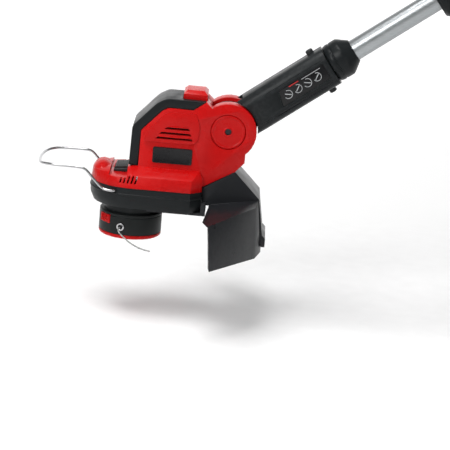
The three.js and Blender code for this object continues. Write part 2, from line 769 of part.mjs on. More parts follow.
function guardHood() {
  const openFront = (points) => [
    ...points,
    [skirtRearX - 13, -skirtRadius + 1, hoodBottomZ],
  ];
  const outerSide = hoodPoints(0, 0);
  const outer = hullOf([...outerSide, ...mirrored(outerSide)]);
  const innerSide = openFront(hoodPoints(hoodWall, -hoodWall)).map(([x, y, z]) =>
    [x, y, z === hoodBottomZ ? hoodBottomZ - 1 : z]);
  innerSide.push([skirtRearX - 60, -skirtRadius - 60, hoodBottomZ - 1]);
  innerSide.push([skirtRearX - 60, -skirtRadius, underCoverFloorZ - fitGap - hoodWall]);
  const inner = hullOf([...innerSide, ...mirrored(innerSide)]);

  const gap = fitGap;
  const rear = hoodPlan.rearX;
  const channelOutline = [
    [-23, -67.5 - gap], [12.3, -46.3 - gap], [rear - 7, -77], [rear, -120], [rear + 4, -124],
    [rear + 4, -134], [rear - 4, -134], [rear - 18, underCoverFloorZ - 4],
    [skirtRearX + gap, underCoverFloorZ - 4], [skirtRearX + gap, -68.5 - gap],
  ];
  const channel = sidePlate(channelOutline, [-channelHalfWidth, channelHalfWidth]);
  const channelInside = sidePlate([
    [skirtRearX + gap + hoodWall, -71], [12.3, -50], [rear - 10, -79], [rear - 3.5, -120],
    [rear - 3.5, hoodBottomZ - 1], [skirtRearX + gap + hoodWall, hoodBottomZ - 1],
  ], [-channelHalfWidth + hoodWall, channelHalfWidth - hoodWall]);
  const flangeZ = underCoverFloorZ - fitGap;
  const flange = join(
    block([spoolAxisX + 20, skirtRearX + 6], [-40, 40], [flangeZ - 3, flangeZ]),
    block([skirtRearX + gap, skirtRearX + 6], [-40, 40], [flangeZ - 3, flangeZ + 12]),
  );
  const neckClearance = moved(rod(spoolRadius - 3, [flangeZ - 8, flangeZ + 1]), spoolAxisX, 0, 0);
  const headClearance = block([-200, skirtRearX + gap], [-200, 200], [flangeZ, 0]);
  return cut(join(cut(join(outer, channel), inner, channelInside), flange),
    neckClearance, headClearance);
}

function lineCutter() {
  const x = hoodPlan.rearX - hoodWall - 1.2;
  return block([x - 1, x - fitGap], [-12, 12], [hoodBottomZ + 4, hoodBottomZ + 22]);
}

addHalves(head, 'head_shell', headShell(), redPlastic);
addPiece(head, 'arch_band', archBand(), blackPlastic);
addPiece(head, 'under_cover', underCover(), blackPlastic);
addPiece(head, 'tilt_button', tiltButtonSolid(), redPlastic);
addPiece(head, 'tilt_spring', tiltSpring(), springSteel);
addPiece(head, 'nose_button', noseButtonSolid(), greyPlastic);
addPiece(head, 'pivot_cap_left', pivotCap(-1), redPlastic);
addPiece(head, 'pivot_cap_right', pivotCap(1), redPlastic);
addPiece(head, 'pivot_bolt', pivotBolt(), steel);
addPiece(head, 'pivot_nut', pivotNut(), steel);
addPiece(head, 'label_plate_left', labelPlate(-1), labelFilm);
addPiece(head, 'label_plate_right', labelPlate(1), labelFilm);
addPiece(head, 'motor', motor(), steel);
addPiece(head, 'motor_shaft', motorShaft(), steel);
addPiece(head, 'spool_cup', spoolCup(), blackPlastic);
addPiece(head, 'spool_cover', spoolCover(), redPlastic);
addPiece(head, 'spool_reel', spoolReel(), greyPlastic);
addPiece(head, 'line_winding', lineWinding(), nylonLine);
addPiece(head, 'bump_knob', bumpKnob(), blackPlastic);
addPiece(head, 'bump_spring', bumpSpring(), springSteel);
addPiece(head, 'latch_tab_front', latchTab(latchBearing), redPlastic);
addPiece(head, 'latch_tab_rear', latchTab(latchBearing + 180), redPlastic);
addPiece(head, 'eyelet_near', eyelet(eyeletBearing), steel);
addPiece(head, 'eyelet_far', eyelet(eyeletBearing + 180), steel);
addPiece(head, 'cutting_line', cuttingLine(), nylonLine);
addPiece(head, 'guard_wire', guardWire(), steel);
addPiece(head, 'guard_hood', guardHood(), blackPlastic);
addPiece(head, 'line_cutter', lineCutter(), steel);

// ---------------------------------------------------------------- swivel adapter and shaft

function adapterSection(halfWidth, halfHeight) {
  const points = [];
  const sides = 20;
  for (let i = 0; i < sides; i++) {
    const angle = (2 * Math.PI * (i + 0.5)) / sides;
    const soften = (value) => Math.sign(value) * Math.abs(value) ** 0.62;
    points.push([halfWidth * soften(Math.cos(angle)), halfHeight * soften(Math.sin(angle))]);
  }
  return points;
}

function adapter() {
  const outside = beam(adapterSection(adapterHalfWidth, adapterHalfHeight), [16, adapterEnd]);
  const inside = beam(
    adapterSection(adapterHalfWidth - wall, adapterHalfHeight - wall),
    [slotRadius + 12, adapterEnd - wall],
  );
  const bossClearance = [-1, 1].map((side) => {
    const span = side < 0 ? [-60, -tongueHalfWidth] : [tongueHalfWidth, 60];
    return rod(bossRadius + 1.3, span, axisY, 36);
  });
  const tongue = rod(tongueRadius, [-tongueHalfWidth, tongueHalfWidth], axisY, 28);
  const throat = [-1, 1].map((side) => {
    const z = side < 0 ? [-60, -15] : [15, 60];
    return block([0, bossRadius + 1], [-tongueHalfWidth - 1, tongueHalfWidth + 1], z);
  });
  const boltBore = rod(pivotBoltRadius + fitGap, [-60, 60], axisY, 16);
  const tubeBore = rod(lowerTubeRadius + fitGap, [adapterEnd - 20, adapterEnd + 5], axisX, 28);
  const pinHoles = rod(pinRadius + runGap, [-60, 60], axisZ, 20).translate([pinPosition, 0, 0]);
  const leadHole = block([tongueRadius - 10, slotRadius + 14], [-5, 5], [-5, 5]);
  const body = join(cut(outside, inside, ...bossClearance, ...throat), tongue);
  return cut(body, boltBore, tubeBore, pinHoles, leadHole);
}

function tubeBush([from, to]) {
  const outer = Math.min(adapterHalfWidth, adapterHalfHeight) - wall - 1.5;
  return pipe(outer, lowerTubeRadius + runGap, [from, to], axisX, 28);
}

function releasePin(side) {
  const shellInside = adapterHalfHeight - wall;
  const inner = lowerTubeRadius + pinTravel + 1;
  const pin = turned([
    [0.01, inner], [pinRadius, inner], [pinRadius, shellInside - 3], [pinFlangeRadius, shellInside - 3],
    [pinFlangeRadius, shellInside - 1.5], [pinRadius, shellInside - 1.5],
    [pinRadius, adapterHalfHeight + 4], [pinRadius - 1, adapterHalfHeight + 5],
    [0.01, adapterHalfHeight + 5],
  ], new THREE.Vector3(0, 0, side), 20);
  return moved(pin, pinPosition, 0, 0);
}

const collarStart = adapterEnd + fitGap * 2;
const outerBushStart = pinPosition + pinFlangeRadius + runGap;
const lowerTubeStart = adapterEnd - 50;
const upperTubeStart = sleeveStart + 25;
const lowerTubeEnd = upperTubeStart + telescopeTravel + tubeOverlap;

function tubeCollar() {
  const end = collarStart + collarLength;
  const bore = lowerTubeRadius + fitGap;
  return turned([
    [bore, collarStart], [collarRadius - 3, collarStart], [collarRadius, collarStart + 4],
    [collarRadius, end - collarConeLength], [bore + 0.8, end], [bore, end],
  ], axisX, 28);
}

function telescopeSleeve() {
  const end = sleeveStart + sleeveLength;
  const bore = lowerTubeRadius + runGap;
  const wideBore = upperTubeRadius + runGap;
  return turned([
    [bore, sleeveStart], [sleeveRadius - 4.5, sleeveStart], [sleeveRadius, sleeveStart + 4],
    [sleeveRadius, end - 4], [sleeveRadius - 2, end], [wideBore, end],
    [wideBore, upperTubeStart - 1], [bore, upperTubeStart - 1],
  ], axisX, 28);
}

function clampBody() {
  const start = sleeveStart + sleeveLength + fitGap;
  const end = start + clampLength;
  const bore = upperTubeRadius + fitGap;
  return turned([
    [bore, start], [sleeveRadius - 2, start], [sleeveRadius - 1, start + 3],
    [sleeveRadius - 3, end - 10], [bore + 3, end], [bore, end],
  ], axisX, 28);
}

const lowerTubeBore = lowerTubeRadius - lowerTubeWall;
const upperTubeBore = upperTubeRadius - upperTubeWall;
const upperTubeEnd = handleStart + 55;

addHalves(shaft, 'adapter_shell', adapter(), blackPlastic);
addPiece(shaft, 'tube_bush_outer', tubeBush([outerBushStart, adapterEnd - wall - fitGap]), greyPlastic);
addPiece(shaft, 'tube_bush_inner', tubeBush([lowerTubeStart, lowerTubeStart + 14]), greyPlastic);
addPiece(shaft, 'release_pin_top', releasePin(1), greyPlastic);
addPiece(shaft, 'release_pin_bottom', releasePin(-1), greyPlastic);
addPiece(shaft, 'lower_tube',
  pipe(lowerTubeRadius, lowerTubeBore, [lowerTubeStart, lowerTubeEnd], axisX), aluminium);
addPiece(shaft, 'power_lead', rod(3.2, [slotRadius + 16, lowerTubeEnd - 4], axisX, 10), leadRubber);
addPiece(shaft, 'tube_collar', tubeCollar(), blackPlastic);
addPiece(shaft, 'telescope_sleeve', telescopeSleeve(), blackPlastic);
addPiece(shaft, 'clamp_body', clampBody(), blackPlastic);
addPiece(shaft, 'upper_tube',
  pipe(upperTubeRadius, upperTubeBore, [upperTubeStart, upperTubeEnd], axisX), aluminium);

// ---------------------------------------------------------------- front handle

const earHalfWidth = 9;

function frontClamp() {
  const [x0, x1] = [frontHandlePosition - 17, frontHandlePosition + 17];
  const ring = pipe(frontClampRadius, upperTubeRadius + fitGap, [x0, x1], axisX, 28);
  const ear = join(
    block([frontHandlePosition - 11, frontHandlePosition + 11], [-earHalfWidth, earHalfWidth],
      [upperTubeRadius + 3, frontPivotHeight]),
    moved(rod(11, [-earHalfWidth, earHalfWidth], axisY, 24), frontHandlePosition, 0, frontPivotHeight),
  );
  const bore = moved(rod(3.3, [-20, 20], axisY, 16), frontHandlePosition, 0, frontPivotHeight);
  return cut(join(ring, ear), bore);
}

// A round bar bent into a loop over the shaft. Its flat feet hold the ear between them.
function frontHandle() {
  const x = frontHandlePosition;
  const footY = earHalfWidth + fitGap + 4;
  const z = frontPivotHeight;
  const side = [
    [x, -footY, z + 22],
    [x, -footY - 5, z + 28],
    [x, -frontHandleHalfWidth + 9, z + 42],
    [x, -frontHandleHalfWidth, z + 60],
    [x, -frontHandleHalfWidth + 8, z + frontHandleHeight - 14],
    [x, -frontHandleHalfWidth + 30, z + frontHandleHeight],
  ];
  const bar = bentBar([...side, ...mirrored(side).reverse()], frontHandleRadius, 10, 30);
  const feet = [-1, 1].map((end) => {
    const [y0, y1] = [earHalfWidth + fitGap, earHalfWidth + fitGap + 8];
    const span = end < 0 ? [-y1, -y0] : [y0, y1];
    return join(moved(rod(12.5, span, axisY, 20), x, 0, z), block([x - 8, x + 8], span, [z, z + 26]));
  });
  const middle = block([x - 30, x + 30], [-earHalfWidth - fitGap, earHalfWidth + fitGap], [0, z + 30]);
  const bore = moved(rod(3.3, [-60, 60], axisY, 16), x, 0, z);
  return cut(join(bar, ...feet), middle, bore);
}

function frontBolt() {
  const end = earHalfWidth + fitGap + 8;
  const shank = rod(3, [-end - 8, end + 1], axisY, 12);
  const boltHead = rod(7, [end + fitGap, end + fitGap + 4], axisY, 6);
  return moved(join(shank, boltHead), frontHandlePosition, 0, frontPivotHeight);
}

function frontKnob() {
  const start = earHalfWidth + fitGap * 2 + 8;
  const knob = rod(14, [-start - 16, -start], axisY, 20);
  const grips = [0, 72, 144, 216, 288].map((angle) =>
    turnedAbout(moved(rod(4, [-start - 20, -start - 3], axisY, 10), 16, 0, 0), axisY, angle));
  const blindBore = rod(3.3, [-start - 9, 5], axisY, 12);
  return moved(cut(knob, ...grips, blindBore), frontHandlePosition, 0, frontPivotHeight);
}

addPiece(shaft, 'front_clamp', frontClamp(), blackPlastic);
addPiece(shaft, 'front_handle', frontHandle(), softGrip);
addPiece(shaft, 'front_bolt', frontBolt(), steel);
addPiece(shaft, 'front_knob', frontKnob(), redPlastic);

// ---------------------------------------------------------------- rear handle

const gapTop = gripTop - gripThickness;
const gapBottom = gapTop - gapHeight;
const guardBottom = gapBottom - guardThickness;
const batteryTop = dockHeight - fitGap;
const batteryStart = gripEnd + 28;

// Outline along the shaft: neck, grip, rear block with the battery dock, rear leg and guard bar.
function handleOutline(inset) {
  const i = inset;
  return [
    [handleStart + i, -26 + i], [handleStart + i, 26 - i], [gripStart - 40, 32 - i],
    [gripStart, gripTop - i], [gripEnd - 20, gripTop - i], [gripEnd + 30, rearBlockTop - i],
    [rearBlockEnd - i, rearBlockTop - 6 - i], [rearBlockEnd - i, dockHeight + i],
    [batteryStart - 2 - i, dockHeight + i], [batteryStart - 2 - i, guardBottom + 14],
    [batteryStart - 14, guardBottom + i], [gripStart + 6, guardBottom + i],
    [gripStart - 36, -38 + i],
  ];
}

function fingerGap(outset) {
  const o = outset;
  return [
    [gripStart + 4 - o, gapTop - 10], [gripStart + 14 - o, gapTop + o], [gripEnd - 8, gapTop + o],
    [gripEnd + o, gapTop - 8 + o], [gripEnd + o, gapBottom + 8 - o], [gripEnd - 8, gapBottom - o],
    [gripStart + 22, gapBottom - o], [gripStart + 4 - o, gapBottom + 12],
  ];
}

const triggerSpan = [gripStart + 18, gripStart + 18 + trigger.length];
const safetySpan = [gripStart - 12, gripStart - 12 + safetyButton.length];

function handleShell() {
  const across = [-handleHalfWidth, handleHalfWidth];
  const inner = [-handleHalfWidth + wall, handleHalfWidth - wall];
  const wide = [-handleHalfWidth - 1, handleHalfWidth + 1];
  const outside = cut(sidePlate(handleOutline(0), across), sidePlate(fingerGap(0), wide));
  const neck = rod(27, [handleStart, handleStart + 30], axisX, 28);
  const dock = block([batteryStart, rearBlockEnd], [-30, 30], [dockHeight, dockHeight + 8]);
  const inside = cut(sidePlate(handleOutline(wall), inner), sidePlate(fingerGap(wall), wide));
  const tubeSeat = rod(upperTubeRadius + fitGap, [handleStart - 1, upperTubeEnd + fitGap], axisX, 28);
  const triggerSlot = block(triggerSpan.map((x, i) => x + (i ? runGap : -runGap)),
    [-trigger.width / 2 - runGap, trigger.width / 2 + runGap], [gapTop - 12, gapTop + wall + 1]);
  const safetySlot = block(safetySpan.map((x, i) => x + (i ? runGap : -runGap)),
    [-safetyButton.width / 2 - runGap, safetyButton.width / 2 + runGap],
    [gripTop - wall - 12, gripTop + 10]);
  const terminalSlot = block([batteryStart + 14, batteryStart + 46], [-14, 14],
    [dockHeight - 1, dockHeight + 12]);
  return cut(join(outside, neck, dock), inside, tubeSeat, triggerSlot, safetySlot, terminalSlot);
}

const triggerTop = gapTop + wall + 4;
const triggerSpringLength = trigger.travel + 4;

function triggerSolid() {
  const [x0, x1] = triggerSpan;
  const half = trigger.width / 2;
  const top = triggerTop;
  const lever = sidePlate([
    [x0, top], [x0, gapTop - 4], [x0 + 6, gapTop - 9], [x0 + 14, gapTop - 12], [x1 - 4, gapTop - 11],
    [x1, gapTop - 6], [x1, top],
  ], [-half, half]);
  const lip = block([x0 - 2, x1 + 2], [-half - 2, half + 2], [gapTop + wall + fitGap, top]);
  return join(lever, lip);
}

function triggerSpring() {
  const bottom = triggerTop + fitGap;
  const spring = coilSpring(4, 0.6, [bottom, bottom + triggerSpringLength], 3);
  return moved(spring, (triggerSpan[0] + triggerSpan[1]) / 2, 0, 0);
}

function switchBody() {
  const bottom = triggerTop + fitGap * 2 + triggerSpringLength;
  return block([triggerSpan[0] - 2, triggerSpan[1] + 2], [-11, 11], [bottom, gripTop - wall - fitGap]);
}

const safetyLipTop = gripTop - wall - 6;

function safetyButtonSolid() {
  const [x0, x1] = safetySpan;
  const half = safetyButton.width / 2;
  const cap = hullOf([x0, x1].flatMap((x, i) => [-half, half].flatMap((y) => [
    [x, y, safetyLipTop], [x, y, gripTop + 1],
    [x + (i ? -3 : 3), y * 0.7, gripTop + safetyButton.travel + 1],
  ])));
  const lip = block([x0 - 1.5, x1 + 1.5], [-half - 2, half + 2], [safetyLipTop - 3, safetyLipTop + 0.1]);
  return join(cap, lip);
}

function terminalBlock() {
  const body = block([batteryStart + 15, batteryStart + 45], [-13, 13],
    [dockHeight + 0.5, dockHeight + 11]);
  const blades = [-8, 0, 8].map((y) =>
    block([batteryStart + 18, batteryStart + 42], [y - 0.5, y + 0.5], [dockHeight - 7, dockHeight + 1]));
  return join(body, ...blades);
}

function controlBoard() {
  return block([gripEnd + 34, rearBlockEnd - 10], [-14, 14], [rearBlockTop - 22, rearBlockTop - 20]);
}

const batteryEnd = batteryStart + battery.length;

function batteryCase() {
  const half = battery.width / 2;
  const low = batteryTop - battery.height;
  const body = hullOf([batteryStart, batteryEnd].flatMap((x, i) => {
    const inward = i ? -4 : 4;
    return [-1, 1].flatMap((s) => [
      [x, s * (half - 4), batteryTop], [x, s * half, batteryTop - 6],
      [x, s * half, low + 10], [x + inward, s * (half - 8), low],
    ]);
  }));
  const inside = block([batteryStart + wall, batteryEnd - wall], [-half + wall + 1, half - wall - 1],
    [low + wall, batteryTop - 12]);
  const plugSlot = block([batteryStart - 1, batteryStart + 46], [-11, 11], [batteryTop - 9, batteryTop + 1]);
  const latchHole = block([batteryEnd - 10, batteryEnd + 5], [-14, 14], [batteryTop - 30, batteryTop - 16]);
  const cellDoor = block([batteryStart - 1, batteryStart + wall + 1], [-half + 10, half - 10],
    [low + 12, batteryTop - 16]);
  return cut(body, inside, plugSlot, latchHole, cellDoor);
}

// Five cells side by side, welded into one pack.
function cellPack() {
  const radius = 6.4;
  const pitch = 2 * radius - 0.4;
  const z = batteryTop - battery.height / 2 - 8;
  const cells = [-2, -1, 0, 1, 2].map((i) =>
    rod(radius, [batteryStart + 6, batteryEnd - 22], axisX, 16).translate([0, i * pitch, z]));
  const strap = block([batteryStart + 20, batteryStart + 26], [-2 * pitch, 2 * pitch], [z - 2, z + 2]);
  return join(...cells, strap);
}

function batteryLatch() {
  const z = [batteryTop - 29.5, batteryTop - 16.5];
  const cap = block([batteryEnd - 9, batteryEnd + 4], [-13.5, 13.5], z);
  const stop = block([batteryEnd - 9, batteryEnd - wall - 1], [-16, 16], [z[0] - 2, z[1] + 2]);
  const pocket = block([batteryEnd - 10, batteryEnd], [-10, 10], [z[0] + 2.5, z[1] - 2.5]);
  return cut(join(cap, stop), pocket);
}

addHalves(shaft, 'handle_shell', handleShell(), redPlastic);
addPiece(shaft, 'trigger', triggerSolid(), blackPlastic);
addPiece(shaft, 'trigger_spring', triggerSpring(), springSteel);
addPiece(shaft, 'switch_body', switchBody(), greyPlastic);
addPiece(shaft, 'safety_button', safetyButtonSolid(), blackPlastic);
addPiece(shaft, 'terminal_block', terminalBlock(), copper);
addPiece(shaft, 'control_board', controlBoard(), circuitBoard);
addPiece(shaft, 'battery_case', batteryCase(), blackPlastic);
addPiece(shaft, 'cell_pack', cellPack(), aluminium);
addPiece(shaft, 'battery_latch', batteryLatch(), redPlastic);

// The part's origin is the middle of the rear grip, where a hand holds the trimmer.
const gripCentre = new THREE.Vector3((gripStart + gripEnd) / 2, 0, gripTop - gripThickness / 2);
gripCentre.applyAxisAngle(axisY, shaft.rotation.y);
trimmer.position.copy(gripCentre).negate();

export default trimmer;
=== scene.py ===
# %% [markdown]
# # Cordless string trimmer
# A string trimmer has a light head that carries a motor and a spool of nylon line, a long
# tube, a loop handle for the front hand and a closed handle with the battery for the rear
# hand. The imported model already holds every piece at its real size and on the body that
# moves it. This lesson gives those pieces rounded edges, turned and moulded detail, and
# finishes. It starts by loading the model, and it keeps the size of the whole for the end.

import json
from math import atan2, cos, pi, radians, sin

import bpy
from mathutils import Matrix, Vector


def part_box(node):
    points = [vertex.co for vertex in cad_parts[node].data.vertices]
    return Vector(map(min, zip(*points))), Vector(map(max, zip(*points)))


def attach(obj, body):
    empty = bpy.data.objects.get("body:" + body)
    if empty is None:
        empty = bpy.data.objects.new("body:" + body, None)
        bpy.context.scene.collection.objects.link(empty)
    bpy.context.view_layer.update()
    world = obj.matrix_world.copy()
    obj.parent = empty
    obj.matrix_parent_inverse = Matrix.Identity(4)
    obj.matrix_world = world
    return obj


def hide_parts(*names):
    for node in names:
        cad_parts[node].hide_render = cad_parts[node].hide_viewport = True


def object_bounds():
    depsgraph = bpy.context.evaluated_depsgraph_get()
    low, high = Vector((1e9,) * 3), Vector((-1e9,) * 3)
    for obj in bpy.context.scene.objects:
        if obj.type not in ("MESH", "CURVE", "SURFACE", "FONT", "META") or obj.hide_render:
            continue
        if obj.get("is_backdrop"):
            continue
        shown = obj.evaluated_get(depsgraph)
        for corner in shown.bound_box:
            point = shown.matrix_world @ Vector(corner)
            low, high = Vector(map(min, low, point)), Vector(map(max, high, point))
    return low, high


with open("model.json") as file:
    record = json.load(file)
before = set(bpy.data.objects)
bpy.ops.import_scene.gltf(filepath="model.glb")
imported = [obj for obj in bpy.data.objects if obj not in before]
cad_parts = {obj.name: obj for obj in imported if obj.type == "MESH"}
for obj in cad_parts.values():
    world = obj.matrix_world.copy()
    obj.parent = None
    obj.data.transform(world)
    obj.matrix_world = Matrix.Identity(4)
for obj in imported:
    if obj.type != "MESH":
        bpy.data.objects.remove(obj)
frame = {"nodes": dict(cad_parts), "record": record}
size_at_start = [list(corner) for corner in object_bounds()]

# %% [markdown]
# The trimmer is drawn in millimetres in two local frames, as its maker would draw it. Both
# start at the pivot of the head. In the head frame X runs to the rear and Z is up. In the
# shaft frame the first number runs along the tube, which rises at 37 degrees. Two small
# helpers turn such a point into a place in metres. Places that several pieces share get a
# name here. A bearing is measured in degrees round the spool.

# %% The two drawing frames
PIVOT = Vector((-0.702326, 0.0, -0.561796))
SLOPE = radians(37)
ALONG = Vector((cos(SLOPE), 0, sin(SLOPE)))
ACROSS = Vector((0, 1, 0))
ABOVE = Vector((-sin(SLOPE), 0, cos(SLOPE)))
UP = Vector((0, 0, 1))
REAR = Vector((1, 0, 0))
MM = 0.001
SIDES = ((-1, "left"), (1, "right"))
SPOOL_X = -107
EYELET_Z = -122.7
EYELET_BEARINGS = (14.7, 194.7)
LATCH_BEARINGS = (51, 231)
SKIRT_RADIUS = 50
PIN_PLACE = 127
FRONT_HANDLE_PLACE = 560
FRONT_PIVOT_HEIGHT = 36


def in_head(x, y, z):
    return PIVOT + Vector((x, y, z)) * MM


def on_shaft(s, y, w):
    return PIVOT + (ALONG * s + ACROSS * y + ABOVE * w) * MM


print("pivot of the head:", tuple(round(v, 4) for v in PIVOT))

# %% [markdown]
# ## Camera
# The trimmer is seen from its left side, a little from above, with the whole view rolled by
# five degrees. A long lens far away keeps parallel edges parallel, as in a product picture.

# %% Camera
VIEW_HEIGHT = radians(15)
VIEW_ROLL = radians(5)
VIEW_DISTANCE = 2.4
VIEW_WIDTH = 0.535
look = Vector((0, cos(VIEW_HEIGHT), -sin(VIEW_HEIGHT)))
level_up = Vector((0, sin(VIEW_HEIGHT), cos(VIEW_HEIGHT)))
right = REAR * cos(VIEW_ROLL) + level_up * sin(VIEW_ROLL)
upward = level_up * cos(VIEW_ROLL) - REAR * sin(VIEW_ROLL)
camera_data = bpy.data.cameras.new("camera")
camera_data.sensor_width = 36
camera_data.lens = 36 * VIEW_DISTANCE / VIEW_WIDTH
camera_data.clip_end = 50
camera = bpy.data.objects.new("camera", camera_data)
bpy.context.scene.collection.objects.link(camera)
place = Vector((-0.6967, 0, -0.6808)) - look * VIEW_DISTANCE
turn = Matrix((right, upward, -look)).transposed().to_4x4()
camera.matrix_world = Matrix.Translation(place) @ turn
bpy.context.scene.camera = camera
print("lens:", round(camera_data.lens), "mm")

# %% [markdown]
# ## Drawing helpers
# Most pieces start as a line. By hand that is a plane merged to one point, which is then
# extruded from corner to corner. Real mouldings have no sharp corners, so `eased` first
# replaces each corner of a line by a short arc. `flowing` joins the points of a route by a
# smooth curve, and `bent_wire` gives a route a round section.

# %% Lines
def nothing_selected():
    if bpy.context.object and bpy.context.object.mode != "OBJECT":
        bpy.ops.object.mode_set(mode="OBJECT")
    bpy.ops.object.select_all(action="DESELECT")


def eased(points, radius, steps=4, closed=False):
    line = [Vector(p) for p in points]
    count = len(line)
    done = []
    for i, corner in enumerate(line):
        if not closed and i in (0, count - 1):
            done.append(corner)
            continue
        before, after = line[i - 1], line[(i + 1) % count]
        reach = min(radius, (before - corner).length * 0.45, (after - corner).length * 0.45)
        a = corner + (before - corner).normalized() * reach
        b = corner + (after - corner).normalized() * reach
        for k in range(steps + 1):
            t = k / steps
            done.append(a * (1 - t) ** 2 + corner * 2 * t * (1 - t) + b * t * t)
    return done


def flowing(points, steps=4):
    line = [Vector(p) for p in points]
    line = [line[0] * 2 - line[1]] + line + [line[-1] * 2 - line[-2]]
    done = []
    for a, b, c, d in zip(line, line[1:], line[2:], line[3:]):
        for k in range(steps):
            t = k / steps
            done.append(0.5 * (b * 2 + (c - a) * t + (a * 2 - b * 5 + c * 4 - d) * t * t
                               + (b * 3 - a - c * 3 + d) * t ** 3))
    return done + [line[-2]]


def drawn_line(name, points):
    nothing_selected()
    bpy.ops.mesh.primitive_plane_add(size=0.001, location=(0, 0, 0))
    piece = bpy.context.object
    piece.name = piece.data.name = name
    bpy.ops.object.mode_set(mode="EDIT")
    bpy.ops.mesh.select_mode(type="VERT")
    bpy.ops.mesh.merge(type="CENTER")
    bpy.ops.transform.translate(value=points[0])
    for a, b in zip(points, points[1:]):
        bpy.ops.mesh.extrude_region_move(TRANSFORM_OT_translate={"value": b - a})
    bpy.ops.mesh.select_all(action="SELECT")
    bpy.ops.mesh.remove_doubles(threshold=5e-6)
    return piece


def bent_wire(name, points, radius, closed=False, rounds=5):
    line = list(points) + ([points[0]] if closed else [])
    piece = drawn_line(name, line)
    bpy.ops.object.mode_set(mode="OBJECT")
    bpy.ops.object.convert(target="CURVE")
    piece.data.bevel_depth = radius * MM
    piece.data.bevel_resolution = rounds
    piece.data.use_fill_caps = True
    bpy.ops.object.convert(target="MESH")
    return bpy.context.object


print("a corner eased:", len(eased([(0, 0), (1, 0), (1, 1)], 0.2)), "points")

# %% [markdown]
# ## The cutting line
# The nylon line leaves an eyelet in the spool and trails back beside it. It is a free cord
# that is 1.6 mm thick, and the stretch outside the spool is its whole visible length. Its
# line is drawn through the points of its route and given a round section as a curve.

# %% The cutting line
LINE_RADIUS = 0.8
LINE_START = 38.7
eyelet_turn = radians(EYELET_BEARINGS[0])
line_exit = in_head(SPOOL_X - sin(eyelet_turn) * LINE_START, -cos(eyelet_turn) * LINE_START, EYELET_Z)
LINE_STEPS = [
    (0, 0, 0), (-1.1, -4.6, 0), (-1.4, -9.4, -0.1), (-1.0, -14.4, -0.3), (0.1, -19.4, -0.6),
    (1.9, -24.4, -1.0), (4.0, -29.3, -1.5), (6.4, -34.2, -2.1), (9.0, -39.0, -2.7),
    (11.8, -43.8, -3.4), (14.9, -48.5, -4.0), (18.3, -53.1, -4.6), (22.0, -57.6, -5.1),
    (26.0, -61.9, -5.5), (30.3, -65.9, -5.7), (34.8, -69.5, -5.7), (39.4, -72.6, -5.5),
]
route = flowing([line_exit + Vector(step) * MM for step in LINE_STEPS], 2)
cutting_line = bent_wire("trimmer_line", route, LINE_RADIUS, rounds=4)
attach(cutting_line, "spool")
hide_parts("cutting_line")

# %% [markdown]
# ## Finishes
# Moulded plastic is never one flat colour. The tool that moulds it leaves a fine grain, the
# colour drifts a little, and handled edges turn paler and smoother. The helper builds that
# from noise in the piece's own coordinates and from how sharp each edge is, so a finish
# stays fixed to its piece as it moves. After its colour a finish takes its roughness, how
# fine and how deep its grain is, how pale its edges wear and how much it shines.

# %% Moulded plastic
def node_maker(material):
    material.use_nodes = True
    tree = material.node_tree

    def add(kind, **values):
        node = tree.nodes.new(kind)
        for key, value in values.items():
            if hasattr(node, key):
                setattr(node, key, value)
            else:
                node.inputs[key].default_value = value
        return node

    return tree, add, tree.nodes["Principled BSDF"]


def noise_from(tree, add, source, scale, detail=3.0):
    noise = add("ShaderNodeTexNoise")
    noise.inputs["Scale"].default_value = scale
    noise.inputs["Detail"].default_value = detail
    tree.links.new(source, noise.inputs["Vector"])
    return noise.outputs["Fac"]


def ranged(tree, add, source, low, high, start=0.3, end=0.7):
    ramp = add("ShaderNodeMapRange")
    for key, value in (("From Min", start), ("From Max", end), ("To Min", low), ("To Max", high)):
        ramp.inputs[key].default_value = value
    tree.links.new(source, ramp.inputs["Value"])
    return ramp.outputs["Result"]


def mixed(tree, add, amount, first, second):
    mix = add("ShaderNodeMix", data_type="RGBA")
    tree.links.new(amount, mix.inputs["Factor"])
    for socket, value in ((mix.inputs[6], first), (mix.inputs[7], second)):
        if isinstance(value, tuple):
            socket.default_value = (*value, 1)
        else:
            tree.links.new(value, socket)
    return mix.outputs[2]


def bumped(tree, add, shader, height, strength, distance):
    bump = add("ShaderNodeBump")
    bump.inputs["Strength"].default_value = strength
    bump.inputs["Distance"].default_value = distance
    tree.links.new(height, bump.inputs["Height"])
    tree.links.new(bump.outputs["Normal"], shader.inputs["Normal"])


def moulded(name, colour, roughness, grain=1400.0, grain_strength=0.12, worn=0.35, shine=0.3):
    material = bpy.data.materials.new(name)
    tree, add, shader = node_maker(material)
    place = add("ShaderNodeTexCoord").outputs["Object"]
    drift = ranged(tree, add, noise_from(tree, add, place, 14, 4), 0.0, 1.0)
    darker = tuple(v * 0.86 for v in colour)
    body = mixed(tree, add, drift, darker, colour)
    edge = add("ShaderNodeNewGeometry").outputs["Pointiness"]
    scuffs = noise_from(tree, add, place, 260, 5)
    rubbed = add("ShaderNodeMath", operation="MULTIPLY")
    tree.links.new(ranged(tree, add, edge, 0.0, worn, 0.53, 0.62), rubbed.inputs[0])
    tree.links.new(ranged(tree, add, scuffs, 0.25, 1.0, 0.4, 0.6), rubbed.inputs[1])
    paler = tuple(min(1.0, v * 1.25 + 0.03) for v in colour)
    tree.links.new(mixed(tree, add, rubbed.outputs[0], body, paler), shader.inputs["Base Color"])
    handled = noise_from(tree, add, place, 60, 6)
    tree.links.new(ranged(tree, add, handled, roughness - 0.05, roughness + 0.08),
                   shader.inputs["Roughness"])
    bumped(tree, add, shader, noise_from(tree, add, place, grain, 2), grain_strength, 0.0002)
    shader.inputs["Specular IOR Level"].default_value = shine
    return material


